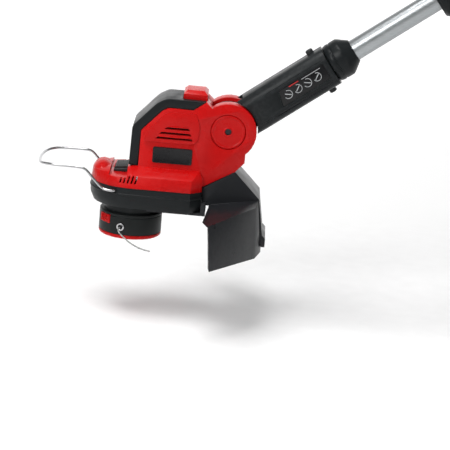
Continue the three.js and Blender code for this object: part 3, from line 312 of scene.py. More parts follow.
FINISH = {
    "red_plastic": moulded("housing_red", (0.50, 0.004, 0.004), 0.28, 1500, 0.05, 0.12, 0.15),
    "black_plastic": moulded("moulded_black", (0.010, 0.012, 0.013), 0.34, 1300, 0.12, 0.25, 0.15),
    "grey_plastic": moulded("moulded_dark_grey", (0.018, 0.020, 0.021), 0.5, 1100, 0.2, 0.15),
    "soft_grip": moulded("soft_grip", (0.014, 0.014, 0.015), 0.78, 700, 0.5, 0.1),
    "label_film": moulded("plain_film", (0.004, 0.004, 0.005), 0.25, 300, 0.03, 0.0, 0.3),
    "lead_rubber": moulded("lead_rubber", (0.009, 0.009, 0.009), 0.62, 500, 0.2, 0.0),
    "circuit_board": moulded("circuit_board", (0.012, 0.10, 0.035), 0.4, 400, 0.1, 0.0),
}
FINISH["guard_black"] = moulded("guard_black", (0.012, 0.013, 0.015), 0.32, 900, 0.08, 0.4, 0.2)
FINISH["spool_black"] = moulded("spool_black", (0.012, 0.014, 0.014), 0.40, 1600, 0.1, 0.2, 0.15)
print("plastic finishes:", len(FINISH))

# %% [markdown]
# Metals are told apart by their surface. The tube is drawn and anodised, so its scratches
# run along it: the noise is squeezed across the tube and stretched along it, after a turn
# by the shaft's slope. The wire and the eyelets are plated and nearly smooth. Nylon line
# lets a little light through.

# %% Metals and nylon
def metal(name, colour, roughness, streak=None, strength=0.05):
    material = bpy.data.materials.new(name)
    tree, add, shader = node_maker(material)
    source = add("ShaderNodeTexCoord").outputs["Object"]
    if streak:
        turning = add("ShaderNodeMapping")
        turning.inputs["Rotation"].default_value = (0, SLOPE, 0)
        turning.inputs["Scale"].default_value = streak
        tree.links.new(source, turning.inputs["Vector"])
        source = turning.outputs["Vector"]
    fine = noise_from(tree, add, source, 700, 4)
    tree.links.new(mixed(tree, add, ranged(tree, add, fine, 0, 1),
                         tuple(v * 0.88 for v in colour), colour), shader.inputs["Base Color"])
    tree.links.new(ranged(tree, add, fine, roughness - 0.06, roughness + 0.08),
                   shader.inputs["Roughness"])
    shader.inputs["Metallic"].default_value = 1.0
    bumped(tree, add, shader, fine, strength, 0.0001)
    return material


def nylon(name, colour):
    material = bpy.data.materials.new(name)
    tree, add, shader = node_maker(material)
    place = add("ShaderNodeTexCoord").outputs["Object"]
    cloud = noise_from(tree, add, place, 180, 3)
    tree.links.new(mixed(tree, add, ranged(tree, add, cloud, 0, 1),
                         tuple(v * 0.85 for v in colour), colour), shader.inputs["Base Color"])
    tree.links.new(ranged(tree, add, cloud, 0.22, 0.36), shader.inputs["Roughness"])
    shader.inputs["Transmission Weight"].default_value = 0.25
    shader.inputs["IOR"].default_value = 1.53
    bumped(tree, add, shader, cloud, 0.1, 0.0001)
    return material


FINISH["aluminium"] = metal("drawn_aluminium", (0.40, 0.42, 0.43), 0.34, (0.02, 1.0, 1.0), 0.015)
FINISH["steel"] = metal("plated_steel", (0.46, 0.46, 0.47), 0.17)
FINISH["spring_steel"] = metal("spring_steel", (0.34, 0.35, 0.36), 0.3)
FINISH["contact_brass"] = metal("contact_brass", (0.60, 0.40, 0.16), 0.28)
FINISH["nylon_line"] = nylon("nylon_line", (0.40, 0.41, 0.40))

slot_of = {p["node"]: p["material_slot"] for p in frame["record"]["subparts"]}


def give(piece, finish):
    piece.data.materials.clear()
    piece.data.materials.append(FINISH[finish])
    return piece


for node, piece in frame["nodes"].items():
    give(piece, slot_of[node])
give(cutting_line, "nylon_line")
print("finishes:", sorted(FINISH))

# %% [markdown]
# ## Shaping helpers
# A closed outline becomes a plate when it is filled and extruded. A profile becomes a turned
# piece when it is spun about its axis. `placed` ends every piece: it smooths the faces,
# takes a finish, rides on its body and stands for the simpler model pieces. A shell of two
# halves is made whole, and `parted` divides it on its middle plane and fills the cut.

# %% Plates, turned pieces and cuts
ROUND_STEPS = 96


def placed(piece, body, finish, stands_for=(), smooth=32):
    nothing_selected()
    piece.select_set(True)
    bpy.context.view_layer.objects.active = piece
    bpy.ops.object.shade_smooth_by_angle(angle=radians(smooth))
    give(piece, finish)
    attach(piece, body)
    if stands_for:
        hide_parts(*([stands_for] if isinstance(stands_for, str) else stands_for))
    return piece


def plate(name, outline, thickness):
    piece = drawn_line(name, list(outline) + [outline[0]])
    bpy.ops.mesh.edge_face_add()
    bpy.ops.mesh.extrude_region_move(TRANSFORM_OT_translate={"value": thickness})
    bpy.ops.mesh.select_all(action="SELECT")
    bpy.ops.mesh.normals_make_consistent(inside=False)
    bpy.ops.object.mode_set(mode="OBJECT")
    return piece


def turned(name, profile, start, axis, out, steps=64, arc=2 * pi):
    points = [start + (out * p[0] + axis * p[1]) * MM for p in profile]
    piece = drawn_line(name, points)
    bpy.ops.mesh.spin(steps=steps, angle=arc, center=start, axis=axis)
    bpy.ops.mesh.select_all(action="SELECT")
    bpy.ops.mesh.remove_doubles(threshold=2e-6)
    bpy.ops.mesh.normals_make_consistent(inside=False)
    bpy.ops.object.mode_set(mode="OBJECT")
    return piece


def applied(piece, kind, **settings):
    nothing_selected()
    piece.select_set(True)
    bpy.context.view_layer.objects.active = piece
    modifier = piece.modifiers.new("step", kind)
    for key, value in settings.items():
        setattr(modifier, key, value)
    bpy.ops.object.modifier_apply(modifier="step")
    return piece


def edged(piece, width, segments=3, angle=32):
    return applied(piece, "BEVEL", width=width * MM, segments=segments,
                   limit_method="ANGLE", angle_limit=radians(angle), harden_normals=False)


def cut_away(piece, *tools, operation="DIFFERENCE"):
    for tool in tools:
        applied(piece, "BOOLEAN", object=tool, operation=operation, solver="EXACT")
        bpy.data.objects.remove(tool)
    return piece


def bar(name, low, high):
    nothing_selected()
    low, high = Vector(low), Vector(high)
    bpy.ops.mesh.primitive_cube_add(size=1, location=(low + high) / 2)
    piece = bpy.context.object
    piece.name = piece.data.name = name
    bpy.ops.object.mode_set(mode="EDIT")
    bpy.ops.transform.resize(value=high - low, center_override=(low + high) / 2)
    bpy.ops.object.mode_set(mode="OBJECT")
    bpy.ops.object.transform_apply(location=True, rotation=True, scale=True)
    return piece


def shaft_bar(name, low, high):
    outline = [on_shaft(s, low[1], w) for s, w in
               ((low[0], low[2]), (high[0], low[2]), (high[0], high[2]), (low[0], high[2]))]
    return plate(name, outline, ACROSS * (high[1] - low[1]) * MM)


def own_copy(piece, name):
    copy = piece.copy()
    copy.data = piece.data.copy()
    copy.name = copy.data.name = name
    bpy.context.scene.collection.objects.link(copy)
    return copy


def turned_copy(piece, name, angle, axis, centre):
    copy = own_copy(piece, name)
    move = Matrix.Translation(centre) @ Matrix.Rotation(angle, 4, axis)
    copy.data.transform(move @ Matrix.Translation(-centre))
    return copy


def moved_round(piece, name, angle, axis, centre):
    copy = turned_copy(piece, name, angle, axis, centre)
    bpy.data.objects.remove(piece)
    return copy


def chosen_faces(piece, wanted):
    bpy.context.view_layer.objects.active = piece
    bpy.ops.object.mode_set(mode="EDIT")
    bpy.ops.mesh.select_mode(type="FACE")
    bpy.ops.mesh.select_all(action="DESELECT")
    bpy.ops.object.mode_set(mode="OBJECT")
    for face in piece.data.polygons:
        face.select = wanted(face)
    bpy.ops.object.mode_set(mode="EDIT")


def parted(piece, name, body, finish, node):
    for side, half in SIDES:
        shell = own_copy(piece, name + half)
        nothing_selected()
        shell.select_set(True)
        bpy.context.view_layer.objects.active = shell
        bpy.ops.object.mode_set(mode="EDIT")
        bpy.ops.mesh.select_all(action="SELECT")
        bpy.ops.mesh.bisect(plane_co=on_shaft(0, side * 0.15, 0), plane_no=ACROSS, use_fill=True,
                            clear_inner=side > 0, clear_outer=side < 0)
        bpy.ops.object.mode_set(mode="OBJECT")
        placed(shell, body, finish, node + half)
        print(name + half, len(shell.data.polygons), "faces")
    bpy.data.objects.remove(piece)


print("shaping helpers are ready")

# %% [markdown]
# Some pieces are right in size and shape, but have the hard edges of a plain model. For
# those a copy of the node is merged into one skin, its flat faces are cleaned, and its edges
# get a small round, which catches the light as a moulded edge does.

# %% Rounded copies
def rounded(node, name, width, body, finish=None, segments=2, angle=32, keep=False):
    source = frame["nodes"][node]
    nothing_selected()
    piece = source.copy()
    piece.data = source.data.copy()
    piece.name = piece.data.name = name
    for key in list(piece.keys()):
        del piece[key]
    piece.parent = None
    bpy.context.scene.collection.objects.link(piece)
    piece.select_set(True)
    bpy.context.view_layer.objects.active = piece
    bpy.ops.object.mode_set(mode="EDIT")
    bpy.ops.mesh.select_all(action="SELECT")
    bpy.ops.mesh.remove_doubles(threshold=2e-6)
    bpy.ops.mesh.dissolve_limited(angle_limit=radians(0.6))
    bpy.ops.object.mode_set(mode="OBJECT")
    if width:
        edged(piece, width, segments, angle)
    if keep:
        return piece
    return placed(piece, body, finish or slot_of[node], node)


FINISH["blackened_steel"] = metal("blackened_steel", (0.05, 0.05, 0.055), 0.4)
print("rounded copies are ready, finishes:", len(FINISH))

# %% [markdown]
# ## The spool
# The spool is round, so its cup, cover and knob are turned: half of a section is drawn as a
# line, its corners are eased, and it is spun about the spool's axis. The cup then gets its
# two windows for the latch tabs and two holes for the eyelets, cut with the boolean
# modifier, because such openings don't run all the way round.

# %% Cup, cover and bump knob
SPOOL_AXIS = in_head(SPOOL_X, 0, 0)
CUP = [(4.1, -107), (33, -107), (33.4, -107.6), (37, -108), (37, -110.6), (36.5, -111),
       (36.5, -111.6), (37, -112), (37, -132.5), (34.6, -132.5), (34.6, -110.2), (8, -110.2),
       (8, -128.5), (4.1, -128.5), (4.1, -107)]
cup = turned("spool_cup_turned", eased(CUP, 0.8), SPOOL_AXIS, UP, REAR, ROUND_STEPS)
windows = []
for bearing in LATCH_BEARINGS:
    window = bar("window", in_head(SPOOL_X - 8.8, -41, -121.3), in_head(SPOOL_X + 8.8, -33, -110.3))
    windows.append(moved_round(window, "window", -radians(bearing), UP, SPOOL_AXIS))
eyelet_level = in_head(SPOOL_X, 0, EYELET_Z)
for bearing in EYELET_BEARINGS:
    hole = turned("hole", [(0, 31), (4.1, 31), (4.1, 41), (0, 41)], eyelet_level, -ACROSS, UP, 32)
    windows.append(moved_round(hole, "hole", -radians(bearing), UP, SPOOL_AXIS))
cut_away(cup, *windows)
placed(cup, "spool", "spool_black", "spool_cup")

COVER = [(11, -137.3), (24, -137.3), (24.6, -136.6), (33, -136.6), (33.6, -137.3), (35.4, -137.3),
         (37, -135.6), (37, -132.8), (11, -132.8), (11, -137.3)]
cover = turned("spool_cover_turned", eased(COVER, 0.7), SPOOL_AXIS, UP, REAR, ROUND_STEPS)
placed(cover, "spool", "red_plastic", "spool_cover")

KNOB = [(0, -142.9), (4, -142.9), (4.6, -143.3), (10.5, -143.3), (14, -142.5), (14, -141.6),
        (10.5, -141.6), (10.5, -132.6), (0, -132.6)]
knob = turned("bump_knob_turned", eased(KNOB, 0.6), SPOOL_AXIS, UP, REAR, 64)
placed(knob, "reel", "black_plastic", "bump_knob")
print("spool turned, cup faces:", len(cup.data.polygons))

# %% [markdown]
# The eyelets are small metal rings whose rounded mouth saves the line from wear. One ring is
# turned, then copied half a turn further round. The latch tabs are pressed with two fingers
# to open the spool, so they carry upright ribs.

# %% Eyelets and latch tabs
RING = [(2.6, 33.6), (4, 33.6), (4, 37.3), (4.7, 37.3), (4.7, 38.4), (2.6, 38.4), (2.6, 33.6)]
ring = turned("eyelet_ring", eased(RING, 0.55), eyelet_level, -ACROSS, UP, 40)
for end, bearing in zip(("near", "far"), EYELET_BEARINGS):
    placed_ring = turned_copy(ring, "eyelet_ring_" + end, -radians(bearing), UP, SPOOL_AXIS)
    placed(placed_ring, "spool", "steel", "eyelet_" + end)
bpy.data.objects.remove(ring)

for node, bearing in zip(("latch_tab_front", "latch_tab_rear"), LATCH_BEARINGS):
    rounded(node, node + "_moulding", 0.5, node)
    for i in range(5):
        x = SPOOL_X - 6 + 3 * i
        rib = bar("rib", in_head(x - 0.6, -38.2, -120), in_head(x + 0.6, -37.2, -112.5))
        edged(rib, 0.35, 2)
        rib = moved_round(rib, f"{node}_rib_{i}", -radians(bearing), UP, SPOOL_AXIS)
        placed(rib, node, "red_plastic")
print("eyelets and latch tabs made")

# %% [markdown]
# ## The pivot
# A flat cap closes each side of the pivot. A groove runs round it, and a small hole in its
# middle shows the bolt inside. The cap is turned about the pivot.

# %% Pivot caps
CAP = [(3.7, 27.5), (20.4, 27.5), (20.4, 28.8), (19.2, 29.8), (17.6, 29.8), (16.8, 29.3),
       (5.8, 29.3), (5.0, 29.8), (4.4, 29.8), (3.7, 28.8), (3.7, 27.5)]
for side, node in ((-1, "pivot_cap_left"), (1, "pivot_cap_right")):
    cap = turned(node + "_turned", eased(CAP, 0.6), PIVOT, ACROSS * side, UP, ROUND_STEPS)
    placed(cap, "head", "red_plastic", node)
for node in ("pivot_bolt", "pivot_nut"):
    give(frame["nodes"][node], "blackened_steel")
print("pivot caps made")

# %% [markdown]
# ## The head housing
# The housing is moulded in two halves that meet on the middle plane. Its outline is already
# right, so each half is a rounded copy. Before the edges are rounded, a row of small
# slanted slots is cut in the nose, where air leaves the motor.

# %% Housing halves
def nose_slots(side):
    slots = []
    for i in range(5):
        x = -119 + 4.4 * i
        floor = (SKIRT_RADIUS ** 2 - (x - SPOOL_X) ** 2) ** 0.5 - 5
        low, high = sorted((side * 60, side * floor))
        slot = bar("slot", in_head(x - 0.9, low, -67), in_head(x + 0.9, high, -57.5))
        slots.append(moved_round(slot, "slot", radians(14), ACROSS, in_head(x, 0, -62)))
    return slots


for side, half in SIDES:
    shell = rounded("head_shell_" + half, "head_half_" + half, 0, "head", keep=True)
    cut_away(shell, *nose_slots(side))
    edged(shell, 0.9, 2)
    placed(shell, "head", "red_plastic", "head_shell_" + half)
    low, high = sorted((side * 25.4, side * 24.4))
    liner = bar("vent_screen_" + half, in_head(-90, low, -18), in_head(-37.6, high, 4))
    for i in range(12):
        x = -88 + 4.4 * i
        cut_away(liner, bar("mesh", in_head(x, low - 1, -17), in_head(x + 0.8, high + 1, 3)))
    edged(liner, 0.1, 1)
    placed(liner, "head", "black_plastic")
    print("housing half:", half, len(shell.data.polygons), "faces")

# %% [markdown]
# A raised panel follows the inside of the arch on each side and frames the cooling slots.
# It is drawn as an outline, extruded as a thin plate, cut by the slots and given a soft
# edge. Three wedges above the slots turn rain and grass away.

# %% Raised side panels
PANEL = [(-33, 3), (-38, 17.5), (-69, 18.5), (-75, 15), (-95.5, -8), (-96.5, -19), (-90, -18.2),
         (-40, -18.2), (-34, -12)]
VENTS = [(-74, -44, -1), (-80, -42, -7), (-84, -40, -13)]
for side, half in SIDES:
    outline = [in_head(x, side * 29.9, z) for x, z in PANEL]
    panel = plate("side_panel_" + half, eased(outline, 0.003, 3, True), ACROSS * side * 0.0018)
    low, high = sorted((side * 28, side * 33))
    for x0, x1, z in VENTS:
        slot = [in_head(x0, low, z - 1.3), in_head(x1, low, z - 1.3), in_head(x1 - 2, low, z + 1.3),
                in_head(x0 + 3, low, z + 1.3)]
        cut_away(panel, plate("slot", slot, ACROSS * 0.005))
    edged(panel, 1.0, 4)
    placed(panel, "head", "red_plastic")
    for k, (x0, x1, z) in enumerate(VENTS):
        wedge = [in_head(x0 + 3, side * 31.6, z + 1.3), in_head(x1 - 2, side * 31.6, z + 1.3),
                 in_head(x1 - 2, side * 31.6, z + 2.5), in_head(x0 + 6, side * 31.6, z + 3.0)]
        lip = plate(f"vent_lip_{half}_{k}", wedge, ACROSS * side * 0.0008)
        edged(lip, 0.35, 2)
        placed(lip, "head", "red_plastic")
print("side panels made")

# %% [markdown]
# ## The arch
# A dark band frames the head from the nose over the top to the tilt button. Its underside
# is drawn first, then the same line is pushed outwards by the band's thickness. Easing the
# closed outline gives the flowing corners, and the side edges are rounded after the
# pocket for the button is cut.

# %% Arch band
ARCH_THICKNESS = 10.5
ARCH_OVERHANG = 14
ARCH = [(-42, 22.5), (-71, 23), (-78, 19), (-101, -6), (-102, -48.7)]


def pushed(points, distance):
    line = [Vector(p) for p in points]
    done = []
    for i, p in enumerate(line):
        steps = [(line[b] - line[a]).normalized() for a, b in ((i - 1, i), (i, i + 1))
                 if 0 <= a and b < len(line)]
        total = sum((Vector((-d.y, d.x)) for d in steps), Vector((0, 0)))
        done.append(p + total * distance * len(steps) / total.length_squared)
    return done


outer = pushed(ARCH, -ARCH_THICKNESS)
outer[0].x += ARCH_OVERHANG
arch_outline = eased([Vector(p) for p in ARCH[::-1]], 2, 3) + eased(outer, 4, 4)
arch = plate("arch_moulding", [in_head(p.x, -30, p.y) for p in arch_outline], ACROSS * 0.06)
cut_away(arch, bar("pocket", in_head(-55.5, -19.5, 0), in_head(-7, 19.5, 60)))
edged(arch, 1.1, 3, 40)
placed(arch, "head", "black_plastic", "arch_band")
print("arch faces:", len(arch.data.polygons))

# %% [markdown]
# The red tilt button fills the pocket and is left smooth, with large rounds for the thumb.
# The button on the nose is dark. A raised thumb pad with fine ribs across it lies on its top.

# %% Buttons
rounded("tilt_button", "tilt_button_moulding", 2.0, "tilt_button", segments=4)
rounded("nose_button", "nose_button_moulding", 1.2, "nose_button", segments=3)
low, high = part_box("nose_button")
PAD_SIDE = [(low.x + 0.0008, high.z - 0.003), (high.x - 0.0006, high.z - 0.001),
            (high.x - 0.0006, high.z + 0.003), (low.x + 0.0014, high.z + 0.001)]
pad = plate("nose_button_pad", [Vector((x, -0.0158, z)) for x, z in PAD_SIDE], ACROSS * 0.0316)
edged(pad, 0.8, 3)
placed(pad, "nose_button", "grey_plastic")
for i in range(7):
    x = low.x + 0.0035 + i * 0.0025
    level = high.z + 0.003 - 0.002 * (high.x - x) / (high.x - low.x)
    rib = bar(f"nose_button_rib_{i}", (x - 0.0005, -0.013, level - 0.0004),
              (x + 0.0005, 0.013, level + 0.0006))
    edged(rib, 0.3, 2)
    placed(rib, "nose_button", "grey_plastic")
print("buttons made")

# %% [markdown]
# The name plate is left plain: a dark film in a thin raised frame. The frame is an outline
# that is inset and pushed inwards, as by hand.

# %% Plain plates
for side, half in SIDES:
    corners = [(-85.5, -43), (-39.5, -43), (-39.5, -24), (-85.5, -24)]
    outline = eased([in_head(x, side * 30.05, z) for x, z in corners], 0.002, 4, True)
    film = plate("plain_plate_" + half, outline, ACROSS * side * 0.0011)
    chosen_faces(film, lambda face: face.normal.y * side > 0.9)
    bpy.ops.mesh.inset(thickness=0.0009, depth=0)
    bpy.ops.mesh.inset(thickness=0.0003, depth=-0.0004)
    bpy.ops.object.mode_set(mode="OBJECT")
    edged(film, 0.25, 2)
    placed(film, "head", "label_film", "label_plate_" + half)
print("plain plates made")

# %% [markdown]
# ## Under-cover and hood
# The cover below the skirt closes the motor in. A bead runs round it, drawn as a line and
# given a round section. The hood keeps grass off the feet. It is a rounded copy, and the
# raised channel along its middle stiffens it.

# %% Under-cover, bead and hood
rounded("under_cover", "under_cover_moulding", 0.9, "head", segments=3)
BEAD_Z = -80
bead = []
for i in range(33):
    angle = pi / 2 + pi * i / 32
    bead.append(in_head(SPOOL_X + SKIRT_RADIUS * cos(angle), SKIRT_RADIUS * sin(angle), BEAD_Z))
bead += [in_head(x, y, BEAD_Z) for x, y in ((-37.5, -50), (-25, -37.5), (-25, 37.5), (-37.5, 50))]
placed(bent_wire("cover_bead", bead, 0.9, True), "head", "black_plastic")
rounded("guard_hood", "guard_hood_moulding", 1.1, "head", "guard_black", segments=3)
rounded("line_cutter", "line_cutter_blade", 0.15, "head")
print("under-cover and hood made")

# %% [markdown]
# ## The plant guard
# The plant guard is one length of bright wire, bent into a loop that keeps plants away from
# the line and folds up out of the way. Its bends flow, so the points of the route are
# joined by a smooth curve and given a round section.

# %% Plant guard wire
WIRE = [(-126.5, -50, -76.5), (-132, -50, -76.2), (-141, -48, -74), (-152, -48, -63.5),
        (-162, -47, -54), (-174, -46, -52.5), (-192, -45, -52.5), (-207, -40, -53),
        (-215.5, -26, -54.5)]
loop = [in_head(*p) for p in WIRE] + [in_head(-218, 0, -55)]
loop += [in_head(x, -y, z) for x, y, z in reversed(WIRE)]
ends = [in_head(-126, -44.5, -76.5), in_head(-126, -49, -76.5)]
far_ends = [in_head(-126, 49, -76.5), in_head(-126, 44.5, -76.5)]
guard = bent_wire("plant_guard_wire", flowing(ends + loop[1:-1] + far_ends, 6), 1.5)
placed(guard, "guard_wire", "steel", "guard_wire", smooth=60)
print("plant guard faces:", len(guard.data.polygons))

# %% [markdown]
# ## Tubes, collar and sleeve
# The shaft's pieces are round, so each is turned about the shaft. The collar ends in a long
# cone. Flutes round the sleeve give the hand a grip: every other strip of faces is pushed in.

# %% Turned shaft pieces
def fluted(piece, low, high, least, every, depth):
    def in_flute(face):
        from_pivot = (face.center - PIVOT) / MM
        s, y, w = from_pivot.dot(ALONG), from_pivot.y, from_pivot.dot(ABOVE)
        index = int((atan2(w, y) + pi) / (2 * pi) * ROUND_STEPS)
        return low < s < high and y * y + w * w > least ** 2 and index % every < every // 2

    chosen_faces(piece, in_flute)
    bpy.ops.mesh.extrude_region_shrink_fatten(
        TRANSFORM_OT_shrink_fatten={"value": -depth * MM})
    bpy.ops.object.mode_set(mode="OBJECT")
    return piece


def pipe(name, bore, radius, low, high, body, finish, node):
    profile = [(bore, low), (radius, low), (radius, high), (bore, high), (bore, low)]
    piece = turned(name, eased(profile, 0.5), PIVOT, ALONG, ABOVE, ROUND_STEPS)
    return placed(piece, body, finish, node)


pipe("thin_tube", 11.2, 12.5, 90.4, 568, "lower_tube", "aluminium", "lower_tube")
pipe("thick_tube", 13.2, 14.8, 308, 795, "handle", "aluminium", "upper_tube")

COLLAR = [(12.8, 141), (20.8, 141), (22.4, 142.4), (23.2, 146), (23.2, 148.2), (22.5, 148.7),
          (22.5, 149.7), (23.2, 150.2), (23.2, 158.6), (22.2, 160.6), (14.4, 171.2), (13.6, 172),
          (12.8, 172), (12.8, 141)]
collar = turned("tube_collar_turned", eased(COLLAR, 0.5, 3), PIVOT, ALONG, ABOVE, ROUND_STEPS)
placed(collar, "lower_tube", "black_plastic", "tube_collar")

SLEEVE = [(13, 283), (20.6, 283), (22, 283.6), (24.7, 286.8), (25, 289), (25, 293), (24.3, 293.6),
          (24.3, 295), (25, 295.6), (25, 327), (24.2, 328), (24.2, 329.4), (25, 330.4), (23, 335),
          (15.3, 335), (15.3, 307), (13, 307), (13, 283)]
sleeve = turned("telescope_sleeve_turned", eased(SLEEVE, 0.6, 3), PIVOT, ALONG, ABOVE, ROUND_STEPS)
fluted(sleeve, 299, 326, 24.8, 6, 0.9)
placed(sleeve, "telescope_sleeve", "black_plastic", "telescope_sleeve")

CLAMP = [(15.1, 335.3), (23, 335.3), (24, 338.3), (23, 346), (22, 347), (22, 348.5), (22.8, 349.5),
         (22, 363), (18.1, 373.3), (15.1, 373.3), (15.1, 335.3)]
clamp = turned("clamp_body_turned", eased(CLAMP, 0.7, 3), PIVOT, ALONG, ABOVE, ROUND_STEPS)
placed(clamp, "handle", "black_plastic", "clamp_body")
print("shaft pieces turned")

# %% [markdown]
# ## The swivel adapter
# The adapter joins the head to the tube. It is two dark shells moulded to a soft, nearly
# square section, with a tongue that sits between the cheeks of the head. The section is
# drawn once and extruded, the space for the round cheeks is cut away, the tongue is joined
# on, and each side gets a shallow window for its film and three fine grooves. The result is
# parted on its middle plane with bisect, which also fills the cut.

# %% Adapter shells
def soft_section(s, half_y, half_w, count=48):
    points = []
    for i in range(count):
        a = 2 * pi * (i + 0.5) / count
        y, w = (abs(f(a)) ** 0.62 * (1 if f(a) > 0 else -1) for f in (cos, sin))
        points.append(on_shaft(s, y * half_y, w * half_w))
    return points


def drum(name, radius, low, high, start=PIVOT, axis=ACROSS, out=UP, steps=64):
    return turned(name, [(0, low), (radius, low), (radius, high), (0, high)], start, axis, out,
                  steps)


adapter = plate("adapter", soft_section(16, 22.9, 23.9), ALONG * 0.1244)
cut_away(adapter,
         drum("cheek", 34.3, -60, -12), drum("cheek", 34.3, 12, 60),
         shaft_bar("throat", (0, -13, 15), (34, 13, 60)),
         shaft_bar("throat", (0, -13, -60), (34, 13, -15)),
         drum("bore", 12.9, 84, 150, PIVOT, ALONG, ABOVE))
cut_away(adapter, drum("tongue", 29, -12, 12), operation="UNION")
cut_away(adapter, drum("bolt_hole", 4.3, -60, 60, steps=24),
         drum("pin_hole", 5.0, 16, 40, on_shaft(PIN_PLACE, 0, 0), ABOVE, ALONG, 32),
         drum("pin_hole", 5.0, 16, 40, on_shaft(PIN_PLACE, 0, 0), -ABOVE, ALONG, 32))
for side in (-1, 1):
    low, high = sorted((side * 21.9, side * 30))
    window = [on_shaft(s, low, w) for s, w in ((68, -10.5), (135, -10.5), (135, 10.5), (74, 10.5))]
    cut_away(adapter, plate("window", eased(window, 0.002, 4, True), ACROSS * (high - low) * MM))
    for w in (-16.2, -13.4, 13.4):
        depth = sorted((side * (20.3 if w < -15 else 21.2), side * 30))
        cut_away(adapter, shaft_bar("groove", (60, depth[0], w - 0.4), (137, depth[1], w + 0.4)))
edged(adapter, 1.0, 3)
parted(adapter, "adapter_half_", "adapter", "black_plastic", "adapter_shell_")

# %% [markdown]
# A film lies in the recess on each side of the adapter. It carries a few plain printed
# marks, rings and bars, made as very thin raised shapes so that they stay crisp.

# %% Films with plain marks
FINISH["printed_grey"] = moulded("printed_grey", (0.42, 0.43, 0.44), 0.4, 300, 0.02, 0.0)
FINISH["printed_red"] = moulded("printed_red", (0.50, 0.02, 0.02), 0.4, 300, 0.02, 0.0)
FILM_FACE = 22.28
MARK_RISE = 0.08


def mark(name, outline, side, finish="printed_grey"):
    points = [on_shaft(s, side * FILM_FACE, w) for s, w in outline]
    piece = plate(name, points, ACROSS * side * MARK_RISE * MM)
    edged(piece, 0.03, 1)
    return placed(piece, "adapter", finish)


for side, half in SIDES:
    corners = ((70, -9.5), (134, -9.5), (134, 9.5), (75, 9.5))
    outline = [on_shaft(s, side * 21.95, w) for s, w in corners]
    film = plate("adapter_film_" + half, eased(outline, 0.002, 4, True), ACROSS * side * 0.0003)
    edged(film, 0.1, 2)
    placed(film, "adapter", "label_film")
    for k, s in enumerate((82, 95, 108, 121)):
        ring = [(5.2, FILM_FACE), (5.2, FILM_FACE + MARK_RISE), (4.5, FILM_FACE + MARK_RISE),
                (4.5, FILM_FACE), (5.2, FILM_FACE)]
        centre = on_shaft(s, 0, 0)
        rim = turned(f"mark_ring_{half}_{k}", ring, centre, ACROSS * side, ABOVE, 32, 1.4 * pi)
        placed(rim, "adapter", "printed_grey")
        tilt = 1 if k % 2 else -1
        stroke = [(s - 3.2, -2.2 * tilt - 0.5), (s + 3.2, 2.2 * tilt - 0.5),
                  (s + 3.2, 2.2 * tilt + 0.7), (s - 3.2, -2.2 * tilt + 0.7)]
        mark(f"mark_bar_{half}_{k}", stroke, side)
    mark(f"mark_red_{half}", [(87, 6.8), (100, 6.8), (100, 7.9), (87, 7.9)], side, "printed_red")
    mark(f"mark_line_{half}", [(104, 6.8), (129, 6.8), (129, 7.5), (104, 7.5)], side)
print("films made")

# %% Release pins
PIN = [(0, 16), (4.4, 16), (4.4, 18), (6, 18), (6, 19.5), (4.4, 19.5), (4.4, 28), (3.4, 29),
       (0, 29.2)]
for axis, node in ((ABOVE, "release_pin_top"), (-ABOVE, "release_pin_bottom")):
    pin = turned(node + "_turned", eased(PIN, 0.5), on_shaft(PIN_PLACE, 0, 0), axis, ALONG, 40)
    placed(pin, node, "grey_plastic", node)
print("release pins turned")

# %% [markdown]
# ## The front handle
# The front handle is a steel core with a soft cover, bent into a loop. Its bar follows a
# flowing line with a round section. Two flat feet hold the ear of the clamp between them.

# %% Loop, feet and knob
FOOT_RADIUS = 12.5
FOOT_INSIDE = 9.3
HALF_LOOP = [(-13.3, 50), (-15, 59), (-22, 68), (-47, 80), (-56, 96), (-48, 126), (-26, 140)]
loop_points = [on_shaft(FRONT_HANDLE_PLACE, y, w) for y, w in HALF_LOOP]
loop_points += [on_shaft(FRONT_HANDLE_PLACE, 0, 143)]
loop_points += [on_shaft(FRONT_HANDLE_PLACE, -y, w) for y, w in reversed(HALF_LOOP)]
grip_loop = bent_wire("front_loop", flowing(loop_points, 6), 9)
placed(grip_loop, "front_handle", "soft_grip", smooth=60)
for side in (-1, 1):
    foot = []
    for i in range(17):
        angle = pi + pi * i / 16
        foot.append(on_shaft(FRONT_HANDLE_PLACE + FOOT_RADIUS * cos(angle), side * FOOT_INSIDE,
                             FRONT_PIVOT_HEIGHT + FOOT_RADIUS * sin(angle)))
    foot += [on_shaft(FRONT_HANDLE_PLACE + s, side * FOOT_INSIDE, 61) for s in (8.5, -8.5)]
    foot_plate = plate("handle_foot_" + ("left" if side < 0 else "right"), foot,
                       ACROSS * side * 0.008)
    pivot = on_shaft(FRONT_HANDLE_PLACE, 0, FRONT_PIVOT_HEIGHT)
    cut_away(foot_plate, drum("bolt_hole", 3.3, -30, 30, pivot, steps=24))
    edged(foot_plate, 1.2, 3)
    placed(foot_plate, "front_handle", "black_plastic")
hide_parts("front_handle")
rounded("front_clamp", "front_clamp_moulding", 1.4, "handle", segments=3)
rounded("front_knob", "front_knob_moulding", 1.2, "front_knob", segments=3)
print("front handle made")

# %% [markdown]
# ## The rear handle
# The rear handle is a closed ring: a grip above, a guard below, and a block at the rear that
# takes the battery. It is drawn as an outline with eased corners and extruded, its finger
# gap is cut through, and its long edges get a large round where the hand goes. Then it is
# parted into its two halves.

# %% Handle shells
HANDLE = [(740, -25), (740, 25), (796, 32), (836, 43), (862, 44), (942, 44), (992, 38),
          (1103.6, 32), (1103.6, -12), (988, -12), (988, -40), (976, -54), (842, -54), (800, -38)]
GAP = [(840, -2), (850, 8), (954, 8), (962, 0), (962, -30), (954, -38), (858, -38), (840, -26)]


